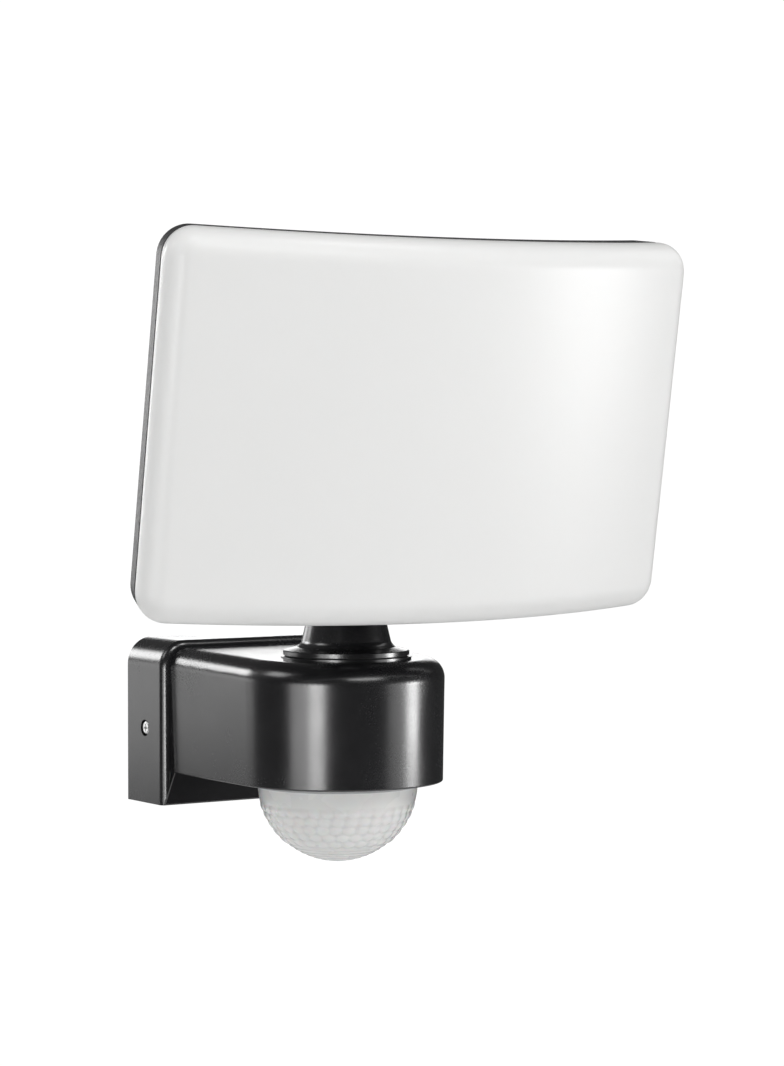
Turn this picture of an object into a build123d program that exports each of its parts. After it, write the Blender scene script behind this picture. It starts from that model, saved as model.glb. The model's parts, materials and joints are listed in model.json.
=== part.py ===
from build123d import *
import os
from math import cos, degrees, radians, sin, tan

# Wall-mounted LED floodlight with a motion sensor dome, modelled in millimetres.
# Frame: the wall is the plane Y = 0 and the light reaches out towards -Y, +X is to the right seen
# from the front, +Z is up. The origin is the centre of the wall box on the wall.
# Bodies: the wall box with its arm, the swivel neck (turns about Z), the lamp head (tilts about X)
# and three adjuster knobs under the arm.

os.makedirs("parts", exist_ok=True)

# ---------------------------------------------------------------- driving dimensions
BOX_WIDTH = 90.6            # wall box, left to right
BOX_HEIGHT = 65.5
BOX_DEPTH = 29.8            # from the wall to the front face of the box
BOX_CORNER = 10.7           # upper corners, seen from the front; the lower ones are square
BOX_EDGE = 3.4              # rounding of the front edge
BOX_WALL = 3.0
BOX_LIFT = 0.8              # the casting stops this far short of the wall, on its gasket

ARM_RADIUS = 41.1           # half width of the arm at its underside, and its round front end
ARM_CENTRE_Y = -87.6        # axis of the round end, and of the sensor dome
ARM_BOTTOM = -19.9
ARM_TOP = 29.9              # top of the arm where it leaves the box
ARM_TOP_SLOPE = 1.2         # degrees, falling towards the front
ARM_DRAFT = 0.9             # degrees, wider towards the top
ARM_EDGE = 8.0              # rounding of the upper edge
ARM_LOWER_EDGE = 0.7
ARM_WALL = 3.1
ARM_ROOF = 25.5             # inner face of the roof
ARM_ROOT = 8.0              # the arm grows out of the box from here, behind the box's front face
ARM_CAVITY_BACK = 11.0
ARM_SPARE = 6.0             # height that the sloping top cuts off

NECK_Y = -93.9              # swivel axis
SPIGOT_RADIUS = 12.0
SPIGOT_BOTTOM = 14.0
SEAT_RADIUS = 25.3
SEAT_TOP = 29.15
FLANGE_RADIUS = 24.5
FLANGE_BOTTOM = 29.75
FLANGE_TOP = 31.6
HINGE_Z = 92.0              # tilt axis, straight above the swivel axis
BARREL_RADIUS = 12.0
BARREL_HALF = 11.0

DOME_RADIUS = 31.25
DOME_Z = -20.0              # centre of the dome's sphere
DOME_WALL = 1.3

HEAD_ARC = 239.0            # lamp head: width measured along its curved front
HEAD_HEIGHT = 143.5
HEAD_RADIUS = 350.0         # the front is part of a cylinder of this radius
HEAD_DEPTH = 24.0
HEAD_CORNER = 11.5
HEAD_TILT = 9.5             # degrees, the front faces slightly down
HEAD_Y = -171.0             # centre of the front face
HEAD_Z = 114.0
DIFFUSER_DEPTH = 11.2
DIFFUSER_ROUND = 9.5
DIFFUSER_WALL = 2.2
RIM_START = 12.5            # depth at which the metal housing begins
RIM_WALL = 2.4
RIM_DRAFT = 3.0
RIM_BACK_EDGE = 2.6
FLOOR_DEPTH = 21.5          # inner face of the housing's back wall

CLEAR = 0.05                # radial clearance of a running or threaded fit
TOUCH = 0.05                # gap between stacked pieces
HOLE_SLACK = 0.2            # radial slack of a screw's free hole
OVER = 1.0                  # a cut starts or ends this far outside the solid
NEAR = 0.01                 # tolerance when edges and corners are picked by their place
HEAD_ROUND = 0.45           # screw heads: rounding, as a share of the head's height
CROSS_LONG = 1.15           # and the cross slot's length and width, as shares of its radius
CROSS_WIDE = 0.24
UPWARD = (Align.CENTER, Align.CENTER, Align.MIN)


# ---------------------------------------------------------------- helpers
def block(low, high):
    size = [b - a for a, b in zip(low, high)]
    centre = [(a + b) / 2 for a, b in zip(low, high)]
    return Pos(*centre) * Box(*size)


def rod(start, direction, radius, length):
    return Plane(origin=start, z_dir=direction) * Cylinder(radius, length, align=UPWARD)


def ring(start, direction, outer, inner, length):
    bore = tuple(s - OVER * d for s, d in zip(start, direction))
    return rod(start, direction, outer, length) - rod(bore, direction, inner, length + 2 * OVER)


def hexagon_prism(start, direction, across_flats, length):
    outline = RegularPolygon(across_flats / 2, 6, major_radius=False)
    return Plane(origin=start, z_dir=direction) * extrude(outline, length)


def pan_screw(seat, direction, head_radius, head_height, shaft_radius, length):
    """A cross-slot pan head screw: the head stands on seat, the shaft runs along direction."""
    outward = Vector(*direction) * -1
    head = rod(seat, tuple(outward), head_radius, head_height)
    rim = head.edges().filter_by(GeomType.CIRCLE)
    rim = rim.sort_by(lambda e: (e.center(CenterOf.BOUNDING_BOX) - Vector(*seat)).dot(outward))
    head = fillet(rim[-1], head_height * HEAD_ROUND)
    top = Vector(*seat) + outward * head_height
    for turn in (0, 90):
        cut = Box(head_radius * CROSS_LONG, head_radius * CROSS_WIDE, head_height)
        head -= Plane(origin=top, z_dir=outward) * Rot(0, 0, turn) * cut
    return head + rod(seat, direction, shaft_radius, length)


def group(pieces):
    return Compound(children=list(pieces))


def rounded_plate(width, height, upper, lower):
    """A face in the XZ plane with its own radius for the upper and the lower corners."""
    plate = Rectangle(width, height)
    for sign, radius in ((1, upper), (-1, lower)):
        if radius > 0:
            corners = plate.vertices().filter_by(lambda v: v.Y * sign > height / 2 - NEAR)
            plate = fillet(corners, radius)
    return plate


def facing_out(x, y, z):
    """A plane parallel to the wall, seen from the front: its X is to the right, its Y is up."""
    return Plane(origin=(x, y, z), x_dir=(1, 0, 0), z_dir=(0, -1, 0))


def wall_slab(width, height, upper, lower, near, far):
    """A rounded plate that reaches from Y = -near to Y = -far."""
    face = rounded_plate(width, height, upper, lower)
    return facing_out(0, -near, 0) * extrude(face, far - near)


def arm_outline(radius, back):
    """The arm seen from above: straight sides and a round front end."""
    round_end = Pos(0, ARM_CENTRE_Y) * Circle(radius)
    sides = Pos(0, (ARM_CENTRE_Y + back) / 2) * Rectangle(2 * radius, back - ARM_CENTRE_Y)
    return round_end + sides


# ---------------------------------------------------------------- wall box and arm, one casting
COVER_SCREW_RING = 35.2     # distance of the front cover screws from the dome axis
COVER_SCREW_ANGLE = 40.0
COVER_SCREW_X = 34.9        # the two rear cover screws
COVER_SCREW_Y = -50.0
COVER_SCREW_RADIUS = 1.25
COVER_SCREW_LENGTH = 10.0
BOARD_SCREW_LENGTH = 8.0
COVER_TOP = -16.5
COVER_BOTTOM = -19.5
BOSS_RADIUS = 4.0
BOARD_Z = 12.0              # underside of the control board
BOARD_THICK = 1.6
STANDOFF_X = 26.0
STANDOFF_Y = (-38.5, -70.0)
STANDOFF_RADIUS = 3.2
SIDE_SCREW_Y = -14.8
SIDE_SCREW_Z = -2.8
SIDE_SCREW_RADIUS = 1.5
SIDE_HEAD_RADIUS = 2.75
SIDE_HEAD_HEIGHT = 1.7
SIDE_RECESS_RADIUS = 3.3
SIDE_RECESS_DEPTH = 2.1
GASKET_INSET = 0.8
GASKET_WIDTH = 2.2
GASKET_THICK = 2.0
LOWER_CORNER = 0.5          # rounding of the inner lower corners
APRON_DEPTH = 31.2          # the face below the arm leans back from here, towards the wall
APRON_LEAN = 11.3           # degrees
APRON_HALF = (ARM_RADIUS, 44.2)     # its half width at the arm's underside and at the bottom
APRON_LIP = 0.6             # metal edge left round the plastic apron of the sensor cover
APRON_THICK = 1.5
APRON_CUT = 9.0             # what lies in front of the leaning face is cut away this far out


def cover_screw_places():
    front_x = COVER_SCREW_RING * sin(radians(COVER_SCREW_ANGLE))
    front_y = ARM_CENTRE_Y - COVER_SCREW_RING * cos(radians(COVER_SCREW_ANGLE))
    return [(side * x, y) for side in (-1, 1)
            for x, y in ((front_x, front_y), (COVER_SCREW_X, COVER_SCREW_Y))]


def standoff_places():
    return [(side * STANDOFF_X, y) for side in (-1, 1) for y in STANDOFF_Y]


def arm_solid():
    """The outside of the arm, with its drafted sides, sloping top and rounded edges."""
    height = ARM_TOP - ARM_BOTTOM + ARM_SPARE
    outline = Pos(0, 0, ARM_BOTTOM) * arm_outline(ARM_RADIUS, -BOX_WALL)
    body = extrude(outline, height, taper=-ARM_DRAFT)
    slope = Plane(origin=(0, -BOX_DEPTH, ARM_TOP),
                  z_dir=(0, -sin(radians(ARM_TOP_SLOPE)), cos(radians(ARM_TOP_SLOPE))))
    body = split(body, bisect_by=slope, keep=Keep.BOTTOM)
    body -= block((-BOX_WIDTH, -ARM_ROOT, ARM_BOTTOM - OVER), (BOX_WIDTH, 0, ARM_TOP + ARM_SPARE))
    top = body.faces().sort_by(Axis.Z)[-1]
    rim = [e for e in top.edges() if e.center().Y < -ARM_ROOT - OVER]
    body = fillet(rim, ARM_EDGE)
    bottom = body.faces().sort_by(Axis.Z)[0]
    rim = [e for e in bottom.edges() if e.center().Y < -ARM_ROOT - OVER]
    return fillet(rim, ARM_LOWER_EDGE)


def box_solid():
    """The outside of the wall box."""
    body = wall_slab(BOX_WIDTH, BOX_HEIGHT, BOX_CORNER, 0, BOX_LIFT, BOX_DEPTH)
    front = body.faces().sort_by(Axis.Y)[0]
    rim = [e for e in front.edges() if e.center().Z > NEAR - BOX_HEIGHT / 2]
    return fillet(rim, BOX_EDGE)


def apron(inset, front, back, low, high):
    """The leaning wedge below the arm, between two depths behind its face."""
    slope = tan(radians(APRON_LEAN))
    profile = [(-APRON_DEPTH + depth + (ARM_BOTTOM - z) * slope, z)
               for depth, z in ((front, high), (front, low), (back, low), (back, high))]
    wedge = extrude(Plane.YZ * make_face(Polyline(*profile, close=True)), BOX_WIDTH, both=True)
    half_top, half_bottom = APRON_HALF
    widening = (half_bottom - half_top) / (BOX_HEIGHT / 2 + ARM_BOTTOM)
    halves = [(half_top + (ARM_BOTTOM - z) * widening - inset, z) for z in (high, low)]
    outline = [(-x, z) for x, z in halves] + [(x, z) for x, z in reversed(halves)]
    return wedge & extrude(Plane.XZ * make_face(Polyline(*outline, close=True)), 2 * BOX_DEPTH)


def arm_housing():
    body = box_solid() + arm_solid()
    body += rod((0, NECK_Y, ARM_ROOF), (0, 0, 1), SEAT_RADIUS, SEAT_TOP - ARM_ROOF)
    inner_half = inner_half_width()
    body -= wall_slab(2 * inner_half, BOX_HEIGHT - 2 * BOX_WALL, BOX_CORNER - BOX_WALL, LOWER_CORNER,
                      -OVER, BOX_DEPTH - BOX_WALL)
    cavity = Pos(0, 0, ARM_BOTTOM - OVER) * arm_outline(ARM_RADIUS - ARM_WALL, -ARM_CAVITY_BACK)
    body -= extrude(cavity, ARM_ROOF - ARM_BOTTOM + OVER)
    # the floor of the box behind the arm stays closed, only the arm is open underneath
    body += block((-inner_half, -BOX_DEPTH, -BOX_HEIGHT / 2),
                  (inner_half, -BOX_DEPTH + BOX_WALL, COVER_BOTTOM))
    floor = -BOX_HEIGHT / 2
    lip = APRON_LIP - TOUCH
    body += apron(0, 0, APRON_DEPTH - BOX_DEPTH + OVER, floor, COVER_BOTTOM - TOUCH)
    body -= apron(-APRON_CUT, -APRON_CUT, 0, floor - OVER, ARM_BOTTOM)
    body -= apron(lip, -OVER, APRON_THICK + TOUCH, floor + lip, COVER_BOTTOM + OVER)
    for x, y in cover_screw_places():
        body += rod((x, y, COVER_TOP + TOUCH), (0, 0, 1), BOSS_RADIUS, ARM_ROOF - COVER_TOP)
        body -= rod((x, y, COVER_TOP - OVER), (0, 0, 1), COVER_SCREW_RADIUS + CLEAR,
                    COVER_SCREW_LENGTH + 2 * OVER)
    for x, y in standoff_places():
        body += rod((x, y, BOARD_Z + BOARD_THICK + TOUCH), (0, 0, 1), STANDOFF_RADIUS,
                    ARM_ROOF - BOARD_Z - BOARD_THICK)
        body -= rod((x, y, BOARD_Z), (0, 0, 1), COVER_SCREW_RADIUS + CLEAR, BOARD_SCREW_LENGTH + OVER)
    body -= rod((0, NECK_Y, ARM_ROOF - OVER), (0, 0, 1), SPIGOT_RADIUS + CLEAR, ARM_TOP - ARM_ROOF + 2 * OVER)
    for side in (-1, 1):
        outer = (side * (BOX_WIDTH / 2 + OVER), SIDE_SCREW_Y, SIDE_SCREW_Z)
        body -= rod(outer, (-side, 0, 0), SIDE_RECESS_RADIUS, SIDE_RECESS_DEPTH + OVER)
        body -= rod(outer, (-side, 0, 0), SIDE_SCREW_RADIUS + HOLE_SLACK, BOX_WALL + 2 * OVER)
    return body - gasket_frame(TOUCH)


def gasket_frame(slack):
    """The wall gasket, or with slack the groove it lies in."""
    lip = 2 * (GASKET_INSET - slack)
    core = 2 * (GASKET_INSET + GASKET_WIDTH + slack)
    outer = wall_slab(BOX_WIDTH - lip, BOX_HEIGHT - lip, BOX_CORNER - lip / 2, LOWER_CORNER, 0,
                      GASKET_THICK + slack)
    inner = wall_slab(BOX_WIDTH - core, BOX_HEIGHT - core, BOX_CORNER - core / 2, LOWER_CORNER, -OVER,
                      GASKET_THICK + OVER)
    return outer - inner


# ---------------------------------------------------------------- wall plate and supply side
PLATE_GAP = 1.3             # between the plate and the inside of the box
PLATE_THICK = 2.0
SLOT_X = 54.0               # wall screw slots, centre to centre
SLOT_Z = 38.0
SLOT_LENGTH = 10.0
SLOT_RADIUS = 2.4
INLET_RADIUS = 8.0          # cable hole in the plate, filled by the grommet
INLET_Z = -14.0
CABLE_RADIUS = 4.2
TAB_HALF = 6.5
TAB_DEPTH = 21.0
TERMINAL_SIZE = (32.0, 14.0, 19.0)
TERMINAL_Z = 13.0
TERMINAL_PITCH = 9.6
TERMINAL_SCREW_RISE = 5.0   # the clamp screws sit this far above and below the block's middle
TERMINAL_SCREW_RADIUS = 1.3
CLAMP_HALF = (3.1, 8.0)     # half width and half height of a clamp
CLAMP_DEPTHS = (2.9, 9.1)   # its back and front, measured from the plate
CLAMP_SLACK = 0.1
WIRE_RADIUS = 2.0
DRIVER_RADIUS = 2.3         # hole for the screwdriver
DRIVER_DEPTH = 8.0          # the block's depth behind that hole
RIB_HALF = 0.6              # half width of the saw cuts between the poles
RIB_DEPTH = 3.0
EARTH_PLACE = (24.0, -4.0)
EARTH_RADIUS = 2.0
GROMMET_FLANGE = 1.4
GROMMET_LIP = 1.8
GROMMET_CONE = (2.2, 0.9, 6.0)      # wall at the root, wall at the tip, length
PLATE_CORNER = 2.0


def inner_half_width():
    return BOX_WIDTH / 2 - BOX_WALL


def wall_plate():
    width = 2 * (inner_half_width() - PLATE_GAP)
    height = BOX_HEIGHT - 2 * BOX_WALL - 2 * PLATE_GAP
    plate = wall_slab(width, height, BOX_CORNER - BOX_WALL - PLATE_GAP, PLATE_CORNER, 0, PLATE_THICK)
    for side in (-1, 1):
        near = side * (inner_half_width() - TOUCH)
        far = near - side * PLATE_THICK
        low = (min(near, far), -TAB_DEPTH, SIDE_SCREW_Z - TAB_HALF)
        plate += block(low, (max(near, far), 0, SIDE_SCREW_Z + TAB_HALF))
        plate -= rod((side * (inner_half_width() + OVER), SIDE_SCREW_Y, SIDE_SCREW_Z), (-side, 0, 0),
                     SIDE_SCREW_RADIUS + CLEAR, PLATE_THICK + 2 * OVER)
    for x in (-SLOT_X / 2, SLOT_X / 2):
        for z in (-SLOT_Z / 2, SLOT_Z / 2):
            slot = extrude(SlotOverall(SLOT_LENGTH, 2 * SLOT_RADIUS), PLATE_THICK + 2 * OVER)
            plate -= facing_out(x, OVER, z) * slot
    plate -= rod((0, OVER, INLET_Z), (0, -1, 0), INLET_RADIUS, PLATE_THICK + 2 * OVER)
    x, z = EARTH_PLACE
    return plate - rod((x, OVER, z), (0, -1, 0), EARTH_RADIUS + CLEAR, PLATE_THICK + 2 * OVER)


def cable_grommet():
    """A rubber ring snapped into the plate, with a groove round its waist."""
    root, tip, length = GROMMET_CONE
    body = ring((0, -TOUCH, INLET_Z), (0, -1, 0), INLET_RADIUS - TOUCH, CABLE_RADIUS,
                PLATE_THICK + GROMMET_FLANGE)
    lip = ring((0, -PLATE_THICK - TOUCH, INLET_Z), (0, -1, 0), INLET_RADIUS + GROMMET_LIP,
               CABLE_RADIUS, GROMMET_FLANGE)
    sleeve = Cone(CABLE_RADIUS + root, CABLE_RADIUS + tip, length, align=UPWARD)
    sleeve -= Cylinder(CABLE_RADIUS, 3 * length)
    sleeve = Plane(origin=(0, -PLATE_THICK - GROMMET_FLANGE, INLET_Z), z_dir=(0, -1, 0)) * sleeve
    return body + lip + sleeve


def terminal_places():
    return [(i - 1) * TERMINAL_PITCH for i in range(3)]


def terminal_screw_heights():
    return TERMINAL_Z - TERMINAL_SCREW_RISE, TERMINAL_Z + TERMINAL_SCREW_RISE


def terminal_block():
    long, deep, tall = TERMINAL_SIZE
    back = -PLATE_THICK - TOUCH
    near, far = CLAMP_DEPTHS
    half = CLAMP_HALF[0] + CLAMP_SLACK
    body = block((-long / 2, back - deep, TERMINAL_Z - tall / 2), (long / 2, back, TERMINAL_Z + tall / 2))
    body = fillet(body.edges().filter_by(Axis.Y), 1.5)
    for x in terminal_places():
        body -= block((x - half, back - far - CLAMP_SLACK, TERMINAL_Z - tall),
                      (x + half, back - near + CLAMP_SLACK, TERMINAL_Z + tall))
        for z in terminal_screw_heights():
            body -= rod((x, back - deep - OVER, z), (0, 1, 0), DRIVER_RADIUS, deep - DRIVER_DEPTH)
    for x in (-TERMINAL_PITCH / 2, TERMINAL_PITCH / 2):
        body -= block((x - RIB_HALF, back - deep - OVER, TERMINAL_Z - tall),
                      (x + RIB_HALF, back - deep + RIB_DEPTH, TERMINAL_Z + tall))
    return body


def terminal_clamps():
    back = -PLATE_THICK - TOUCH
    near, far = CLAMP_DEPTHS
    half, rise = CLAMP_HALF
    clamps = []
    for x in terminal_places():
        tube = block((x - half, back - far, TERMINAL_Z - rise), (x + half, back - near, TERMINAL_Z + rise))
        tube -= rod((x, back - (near + far) / 2, TERMINAL_Z - rise - OVER), (0, 0, 1), WIRE_RADIUS,
                    2 * (rise + OVER))
        for z in terminal_screw_heights():
            tube -= rod((x, back - far - 2 * OVER, z), (0, 1, 0), TERMINAL_SCREW_RADIUS + CLEAR, far / 2)
        clamps.append(tube)
    return group(clamps)


def terminal_screws():
    seat = -PLATE_THICK - TOUCH - 10.5
    return group(pan_screw((x, seat, z), (0, 1, 0), 2.1, 1.8, TERMINAL_SCREW_RADIUS, 4.0)
                 for x in terminal_places() for z in terminal_screw_heights())


def earth_screw():
    x, z = EARTH_PLACE
    washer = ring((x, -PLATE_THICK - TOUCH, z), (0, -1, 0), 4.5, EARTH_RADIUS + CLEAR, 0.9)
    screw = pan_screw((x, -PLATE_THICK - 1.0, z), (0, 1, 0), 3.6, 2.4, EARTH_RADIUS, PLATE_THICK + 0.8)
    return group([washer, screw])


def side_screws():
    screws = []
    for side in (-1, 1):
        seat = side * (BOX_WIDTH / 2 - SIDE_RECESS_DEPTH)
        screws.append(pan_screw((seat + side * TOUCH, SIDE_SCREW_Y, SIDE_SCREW_Z), (-side, 0, 0),
                                SIDE_HEAD_RADIUS, SIDE_HEAD_HEIGHT, SIDE_SCREW_RADIUS, 8))
    return group(screws)


# ---------------------------------------------------------------- sensor: cover, lens and boards
COVER_GAP = 0.15
LENS_FLANGE_RADIUS = 32.6
LENS_FLANGE_THICK = 1.5
LENS_RING_RADIUS = 32.1
LENS_RING_BOTTOM = -21.7
LENS_RING_ROUND = 0.35
KNOB_X = 16.0
KNOB_Y = -43.0
KNOB_RADIUS = 4.5
KNOB_GAP = 0.08
KNOB_BOTTOM = -21.2
KNOB_TOP = -16.2
KNOB_SHAFT_RADIUS = 1.5
KNOB_SHAFT_LENGTH = 4.0
KNOB_ROUND = 0.5
KNOB_SLOT = (7.4, 1.2, 2.4)
KNOB_DOT_OFFSET = 3.1
KNOB_DOT_DEPTH = 0.8
POT_SIZE = 9.4
POT_BOTTOM = -15.9
POT_TOP = -10.9
SENSOR_BOARD_RADIUS = 30.0
SENSOR_BOARD_Z = -14.5
HOLDER_RADIUS = 31.0
PYRO_RADIUS = 4.6
PYRO_DEPTH = 4.2
PYRO_FALL = 35.0            # degrees below the horizontal
PYRO_TURNS = (-75.0, 0.0, 75.0)
PYRO_REACH = 9.0            # how far out from the dome's axis each one starts, along its line
PYRO_Z = -19.2
PYRO_BRIM = 0.5             # the can's brim, radius and slack in the holder
PYRO_BRIM_THICK = 0.8
PYRO_WINDOW = (4.4, 3.2, 1.0)
HOLDER_BORE = 28.5
HOLDER_WEB = (29.0, 2.0, 6.0)       # half length, front and back, measured from the dome's axis
HOLDER_CONE = (16.0, 9.0, 9.5)
LIGHT_SENSOR_OFFSET = 22.0
LIGHT_SENSOR_RADIUS = 2.5
LIGHT_SENSOR_DROP = 3.6
LIGHT_SENSOR_TIP = 2.0
HEAD_OF_COVER_SCREW = 2.25
HEAD_SINK = 1.5             # depth of the cover screws' recesses
COVER_HOLE_SLACK = 0.1
ADJUSTER_SCREW_X = 23.5
ADJUSTER_SCREW_RADIUS = 1.0
ADJUSTER_POST_RADIUS = 2.4
ADJUSTER_BOARD_HALF = (27.0, 6.5)
BOARD_HOLE_RADIUS = 1.2


def knob_places():
    return {"time_knob": -KNOB_X, "lux_knob": 0.0, "sensitivity_knob": KNOB_X}


def adjuster_screw_places():
    return -ADJUSTER_SCREW_X, ADJUSTER_SCREW_X


def sensor_cover():
    plan = arm_outline(ARM_RADIUS - ARM_WALL - COVER_GAP, -BOX_DEPTH - TOUCH)
    cover = extrude(Pos(0, 0, COVER_BOTTOM) * plan, COVER_TOP - COVER_BOTTOM)
    cover += apron(APRON_LIP, 0, APRON_THICK, APRON_LIP - BOX_HEIGHT / 2, COVER_BOTTOM)
    through = COVER_TOP - COVER_BOTTOM + 2 * OVER
    below = COVER_BOTTOM - OVER
    cover -= rod((0, ARM_CENTRE_Y, below), (0, 0, 1), DOME_RADIUS + COVER_GAP, through)
    cover -= rod((0, ARM_CENTRE_Y, COVER_TOP - LENS_FLANGE_THICK - TOUCH), (0, 0, 1),
                 LENS_FLANGE_RADIUS + COVER_HOLE_SLACK, through)
    for x in knob_places().values():
        cover -= rod((x, KNOB_Y, below), (0, 0, 1), KNOB_RADIUS + KNOB_GAP, through)
    for x, y in cover_screw_places():
        cover -= rod((x, y, below), (0, 0, 1), COVER_SCREW_RADIUS + COVER_HOLE_SLACK, through)
        cover -= rod((x, y, below), (0, 0, 1), HEAD_OF_COVER_SCREW + COVER_GAP, OVER + HEAD_SINK)
    for x in adjuster_screw_places():
        cover += rod((x, KNOB_Y, COVER_TOP), (0, 0, 1), ADJUSTER_POST_RADIUS, POT_TOP - COVER_TOP - TOUCH)
        cover -= rod((x, KNOB_Y, COVER_TOP + OVER), (0, 0, 1), ADJUSTER_SCREW_RADIUS + CLEAR,
                     POT_TOP - COVER_TOP)
    return cover


def cover_screws():
    return group(pan_screw((x, y, COVER_BOTTOM + HEAD_SINK - TOUCH), (0, 0, 1), HEAD_OF_COVER_SCREW, 1.4,
                           COVER_SCREW_RADIUS, COVER_SCREW_LENGTH) for x, y in cover_screw_places())


def pir_lens():
    """The dome: a hemisphere shell with a short collar and a flange that the cover traps."""
    inner = DOME_RADIUS - DOME_WALL
    low = Sphere(DOME_RADIUS) - Sphere(inner)
    low -= Pos(0, 0, DOME_RADIUS) * Box(3 * DOME_RADIUS, 3 * DOME_RADIUS, 2 * DOME_RADIUS)
    low = Pos(0, ARM_CENTRE_Y, DOME_Z) * low
    collar = ring((0, ARM_CENTRE_Y, DOME_Z), (0, 0, 1), DOME_RADIUS, inner, COVER_TOP - DOME_Z - TOUCH)
    flange = ring((0, ARM_CENTRE_Y, COVER_TOP - LENS_FLANGE_THICK), (0, 0, 1),
                  LENS_FLANGE_RADIUS, inner, LENS_FLANGE_THICK - TOUCH)
    return low + collar + flange


def lens_ring():
    body = ring((0, ARM_CENTRE_Y, LENS_RING_BOTTOM), (0, 0, 1), LENS_RING_RADIUS,
                DOME_RADIUS + CLEAR, COVER_BOTTOM - TOUCH - LENS_RING_BOTTOM)
    rim = body.edges().filter_by(GeomType.CIRCLE).sort_by(Axis.Z)[:2].sort_by(SortBy.RADIUS)[-1]
    return fillet(rim, LENS_RING_ROUND)


def pyro_spot(turn):
    """Centre line of one infrared sensor: it leans outwards and down from the dome axis."""
    angle = radians(turn)
    fall = radians(PYRO_FALL)
    direction = (sin(angle) * cos(fall), -cos(angle) * cos(fall), -sin(fall))
    start = (PYRO_REACH * direction[0], ARM_CENTRE_Y + PYRO_REACH * direction[1], PYRO_Z)
    return start, direction


def pyro_holder():
    half, back, front = HOLDER_WEB
    low = COVER_TOP + TOUCH
    spacer = ring((0, ARM_CENTRE_Y, low), (0, 0, 1), HOLDER_RADIUS, HOLDER_BORE, SENSOR_BOARD_Z - TOUCH - low)
    web = block((-half, ARM_CENTRE_Y + back, low), (half, ARM_CENTRE_Y + front, SENSOR_BOARD_Z - TOUCH))
    place = Pos(0, ARM_CENTRE_Y, SENSOR_BOARD_Z - TOUCH) * Rot(180, 0, 0)
    body = spacer + web + place * Cone(*HOLDER_CONE, align=UPWARD)
    for turn in PYRO_TURNS:
        start, direction = pyro_spot(turn)
        body -= rod(start, direction, PYRO_RADIUS + PYRO_BRIM, HOLDER_CONE[0])
    return body


def pyro_sensors():
    cans = []
    for turn in PYRO_TURNS:
        start, direction = pyro_spot(turn)
        base = tuple(s + 2 * TOUCH * d for s, d in zip(start, direction))
        can = rod(base, direction, PYRO_RADIUS, PYRO_BRIM_THICK)
        can += rod(base, direction, PYRO_RADIUS - PYRO_BRIM, PYRO_DEPTH)
        top = tuple(s + (PYRO_DEPTH - 0.2) * d for s, d in zip(base, direction))
        can -= Plane(origin=top, z_dir=direction) * Box(*PYRO_WINDOW)
        cans.append(can)
    return group(cans)


def sensor_board():
    board = rod((0, ARM_CENTRE_Y, SENSOR_BOARD_Z), (0, 0, 1), SENSOR_BOARD_RADIUS, BOARD_THICK)
    hole = (0, ARM_CENTRE_Y + LIGHT_SENSOR_OFFSET, SENSOR_BOARD_Z - OVER)
    return board - rod(hole, (0, 0, 1), BOARD_HOLE_RADIUS, BOARD_THICK + 2 * OVER)


def light_sensor():
    low = (0, ARM_CENTRE_Y + LIGHT_SENSOR_OFFSET, SENSOR_BOARD_Z - LIGHT_SENSOR_DROP)
    body = rod(low, (0, 0, 1), LIGHT_SENSOR_RADIUS, LIGHT_SENSOR_DROP - 2 * TOUCH)
    return body + Pos(*low) * Sphere(LIGHT_SENSOR_TIP)


def knob(x):
    """An adjuster: a slotted disc with a short pointer on a thin shaft."""
    body = rod((x, KNOB_Y, KNOB_BOTTOM), (0, 0, 1), KNOB_RADIUS, KNOB_TOP - KNOB_BOTTOM)
    body = fillet(body.edges().filter_by(GeomType.CIRCLE).sort_by(Axis.Z)[0], KNOB_ROUND)
    body -= Pos(x, KNOB_Y, KNOB_BOTTOM) * Box(*KNOB_SLOT)
    body -= Pos(x, KNOB_Y + KNOB_DOT_OFFSET, KNOB_BOTTOM) * Cylinder(KNOB_ROUND, KNOB_DOT_DEPTH)
    return body + rod((x, KNOB_Y, KNOB_TOP), (0, 0, 1), KNOB_SHAFT_RADIUS, KNOB_SHAFT_LENGTH)


def adjuster_pots():
    pots = []
    half = POT_SIZE / 2
    shaft_hole = KNOB_TOP + KNOB_SHAFT_LENGTH - POT_BOTTOM + OVER + KNOB_ROUND
    for x in knob_places().values():
        pot = block((x - half, KNOB_Y - half, POT_BOTTOM), (x + half, KNOB_Y + half, POT_TOP - TOUCH))
        pot -= rod((x, KNOB_Y, POT_BOTTOM - OVER), (0, 0, 1), KNOB_SHAFT_RADIUS + CLEAR, shaft_hole)
        pots.append(pot)
    return group(pots)


def adjuster_board():
    long, wide = ADJUSTER_BOARD_HALF
    board = block((-long, KNOB_Y - wide, POT_TOP), (long, KNOB_Y + wide, POT_TOP + BOARD_THICK))
    for x in adjuster_screw_places():
        board -= rod((x, KNOB_Y, POT_TOP - OVER), (0, 0, 1), BOARD_HOLE_RADIUS, BOARD_THICK + 2 * OVER)
    return board


def adjuster_screws():
    top = POT_TOP + BOARD_THICK + TOUCH
    return group(pan_screw((x, KNOB_Y, top), (0, 0, -1), 1.9, 1.3, ADJUSTER_SCREW_RADIUS, 5.5)
                 for x in adjuster_screw_places())


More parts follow.
